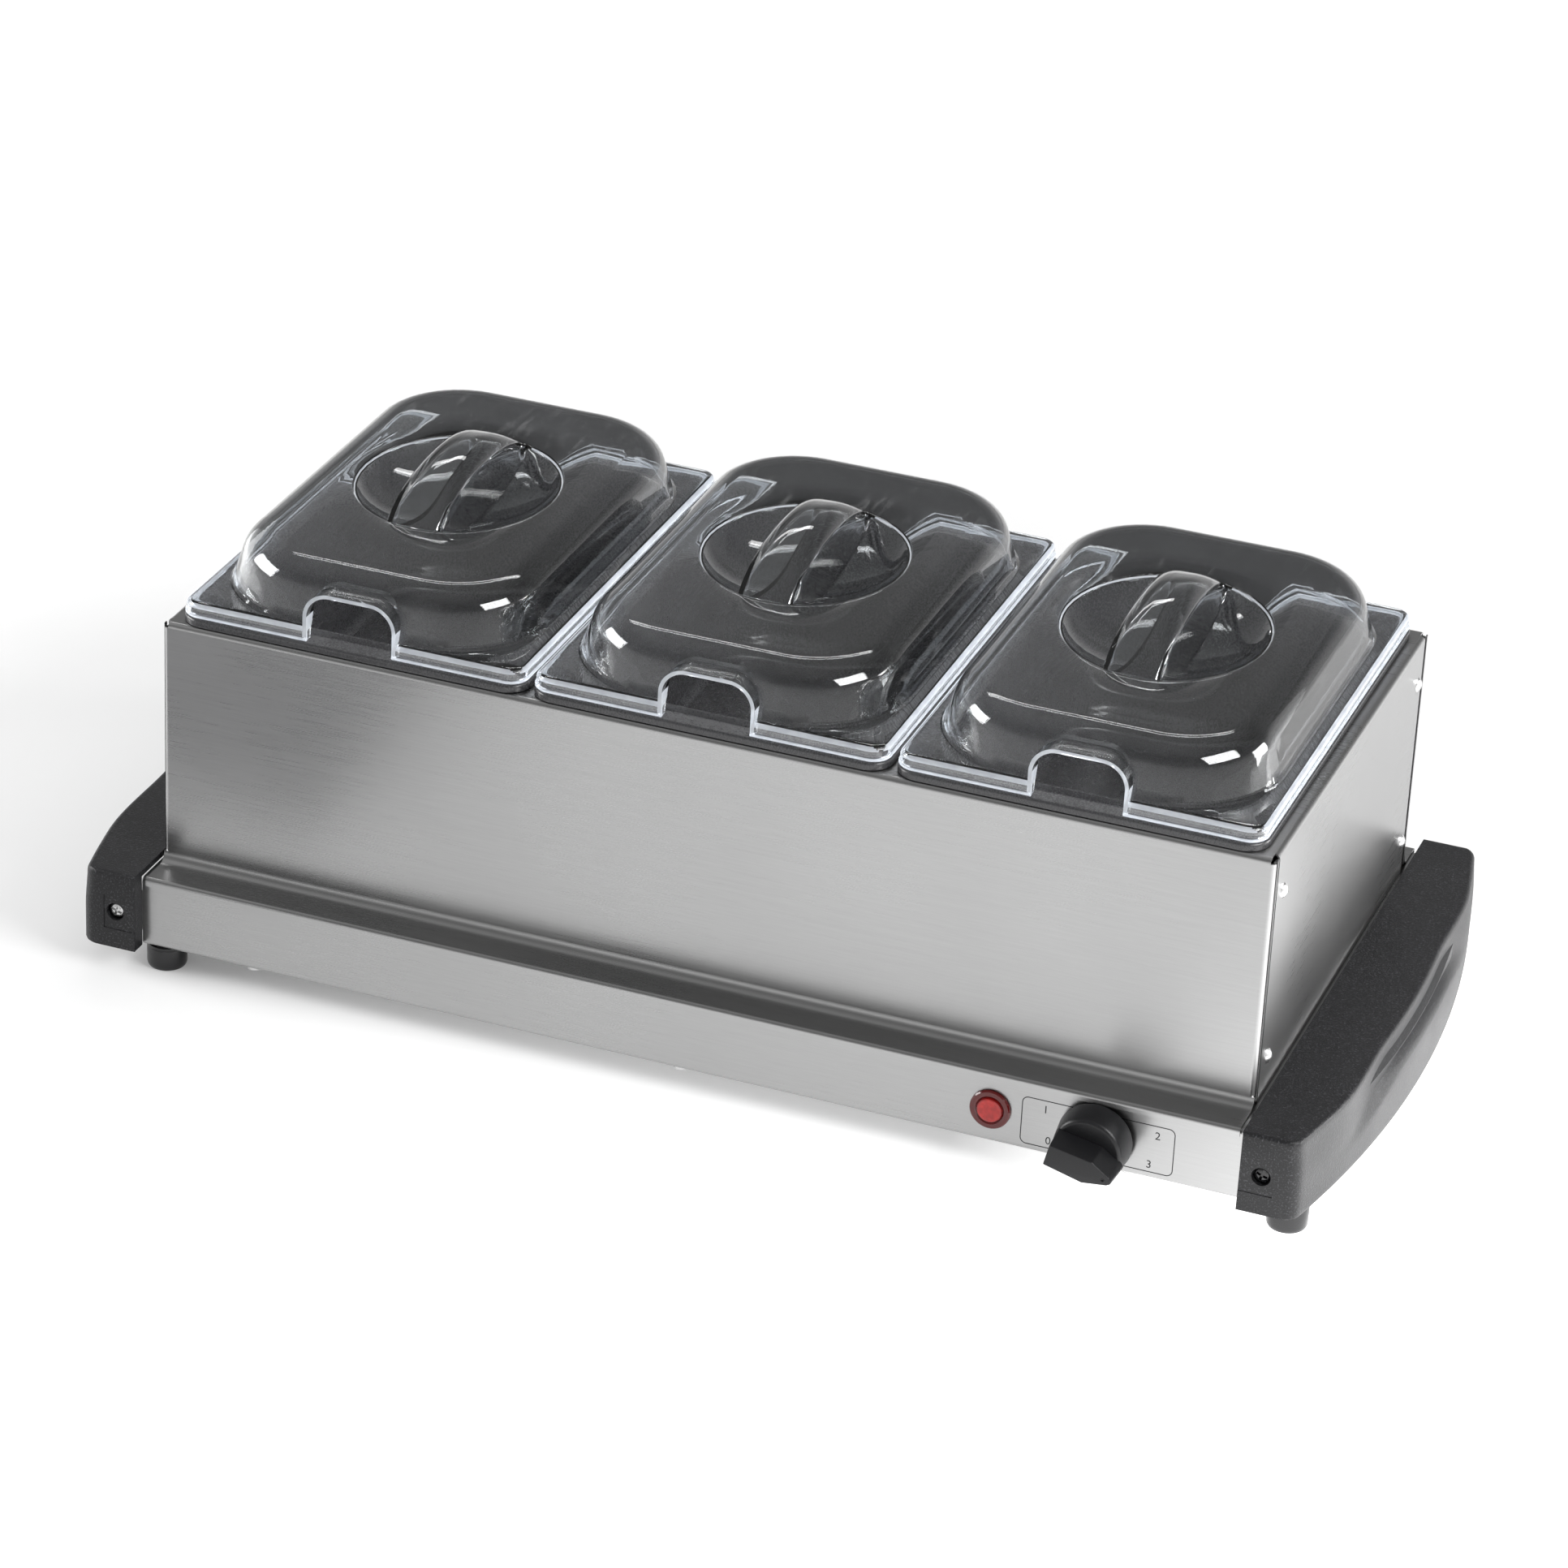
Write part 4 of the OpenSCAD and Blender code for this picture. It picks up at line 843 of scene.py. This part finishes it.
def make_stage():
    """Pale floor and two cards: a dark one that only shows through the lids, a grey one only in the steel.

    The floor glows a little, more so further out and in two pools (middle, reach, strength; in metres)
    that light the front panel and the right handle.
    """
    n = Nodes("studio_floor", Roughness=0.75, Emission_Color=grey(1.0))
    n.link(n.mix(n.ramp(n.noise(3, 2), 0.3, 0.7, 0, 1), grey(0.80), grey(0.84)), n.shader.inputs["Base Color"])
    glow = n.ramp(n.distance((0, 0, 0)), 0.45, 1.3, 0.14, 0.8)
    pools = (((0.14, -0.42, 0), (0.16, 0.50), 0.42), ((0.46, -0.06, 0), (0.10, 0.34), 2.2))
    for middle, reach, strength in pools:
        glow = n.math("ADD", glow, n.ramp(n.distance(middle), *reach, strength, 0))
    n.link(glow, n.shader.inputs["Emission Strength"])
    half, quad = 8000.0, [(0, 1, 2, 3)]
    floor = new_object("studio_floor", [(x * half, y * half, 0) for x, y in ((-1, -1), (1, -1), (1, 1), (-1, 1))],
                       quad)
    floor.data.materials.append(n.material)
    dark = fibre("dark_card", (0.03, 0.03, 0.032, 1), 0.9, 40, 0.1)
    soft = fibre("grey_card", (0.30, 0.30, 0.31, 1), 0.9, 40, 0.1)
    back = new_object("back_card", [(-620, 330, 5), (430, 330, 5), (430, 330, 330), (-620, 330, 330)], quad)
    side = new_object("side_card", [(-900, -640, 2), (-250, -640, 2), (-250, -250, 2), (-900, -250, 2)], quad)
    for card, board, seen in ((back, dark, "transmission"), (side, soft, "glossy")):
        card.data.materials.append(board)
        for ray in ("camera", "diffuse", "glossy", "transmission", "shadow", "volume_scatter"):
            setattr(card, "visible_" + ray, ray == seen)


def area_light(name, place, target, size, power):
    """Rectangular lamp at place, turned towards target; metres and watts."""
    data = bpy.data.lights.new(name, "AREA")
    data.shape = "RECTANGLE"
    data.size, data.size_y = size
    data.energy = power
    light = add_object(name, data)
    light.location = place
    light.rotation_mode = "QUATERNION"
    light.rotation_quaternion = (Vector(target) - Vector(place)).to_track_quat("-Z", "Y")


def make_light():
    """Four softboxes and a grey gradient all round."""
    target = (0, 0, 0.12)
    area_light("left_softbox", (-1.45, -0.35, 0.55), target, (0.85, 0.6), 19)
    area_light("right_softbox", (1.30, -0.42, 0.95), target, (0.95, 0.6), 21)
    area_light("rear_strip", (-0.40, 1.10, 1.55), target, (1.4, 0.12), 4)
    area_light("rim_softbox", (1.60, 0.75, 0.35), target, (0.6, 0.5), 16)
    world = bpy.data.worlds.new("studio")
    bpy.context.scene.world = world
    world.use_nodes = True
    tree = world.node_tree
    coordinates = tree.nodes.new("ShaderNodeTexCoord")
    split = tree.nodes.new("ShaderNodeSeparateXYZ")
    ramp = tree.nodes.new("ShaderNodeValToRGB")
    tree.links.new(coordinates.outputs["Generated"], split.inputs["Vector"])
    tree.links.new(split.outputs["Z"], ramp.inputs["Fac"])
    stops = ((0.0, 0.92), (0.10, 0.85), (0.30, 0.30), (0.6, 0.22), (1.0, 0.5))
    for i, (place, value) in enumerate(stops):
        element = ramp.color_ramp.elements[i] if i < 2 else ramp.color_ramp.elements.new(place)
        element.position = place
        element.color = grey(value)
    tree.links.new(ramp.outputs["Color"], tree.nodes["Background"].inputs["Color"])
    tree.nodes["Background"].inputs["Strength"].default_value = 0.9
    bpy.context.scene.view_settings.view_transform = "Standard"


def make_camera():
    """Camera of the photo, from the perspective fit."""
    azimuth, elevation, roll = (math.radians(v) for v in (CAMERA_AZIMUTH, CAMERA_ELEVATION, CAMERA_ROLL))
    back = Vector((math.sin(azimuth) * math.cos(elevation), -math.cos(azimuth) * math.cos(elevation),
                   math.sin(elevation)))
    right = (-back).cross(Vector((0, 0, 1))).normalized()
    up = right.cross(-back)
    x_axis = math.cos(roll) * right + math.sin(roll) * up
    y_axis = math.cos(roll) * up - math.sin(roll) * right
    data = bpy.data.cameras.new("camera")
    data.lens, data.sensor_width = CAMERA_LENS, CAMERA_SENSOR
    data.clip_start, data.clip_end = 0.1, 60
    camera = add_object("camera", data)
    camera.matrix_world = Matrix.Translation(Vector(CAMERA_PLACE) * MM) @ Matrix(
        (x_axis, y_axis, back)).transposed().to_4x4()
    bpy.context.scene.camera = camera


make_stage()
make_light()
make_camera()
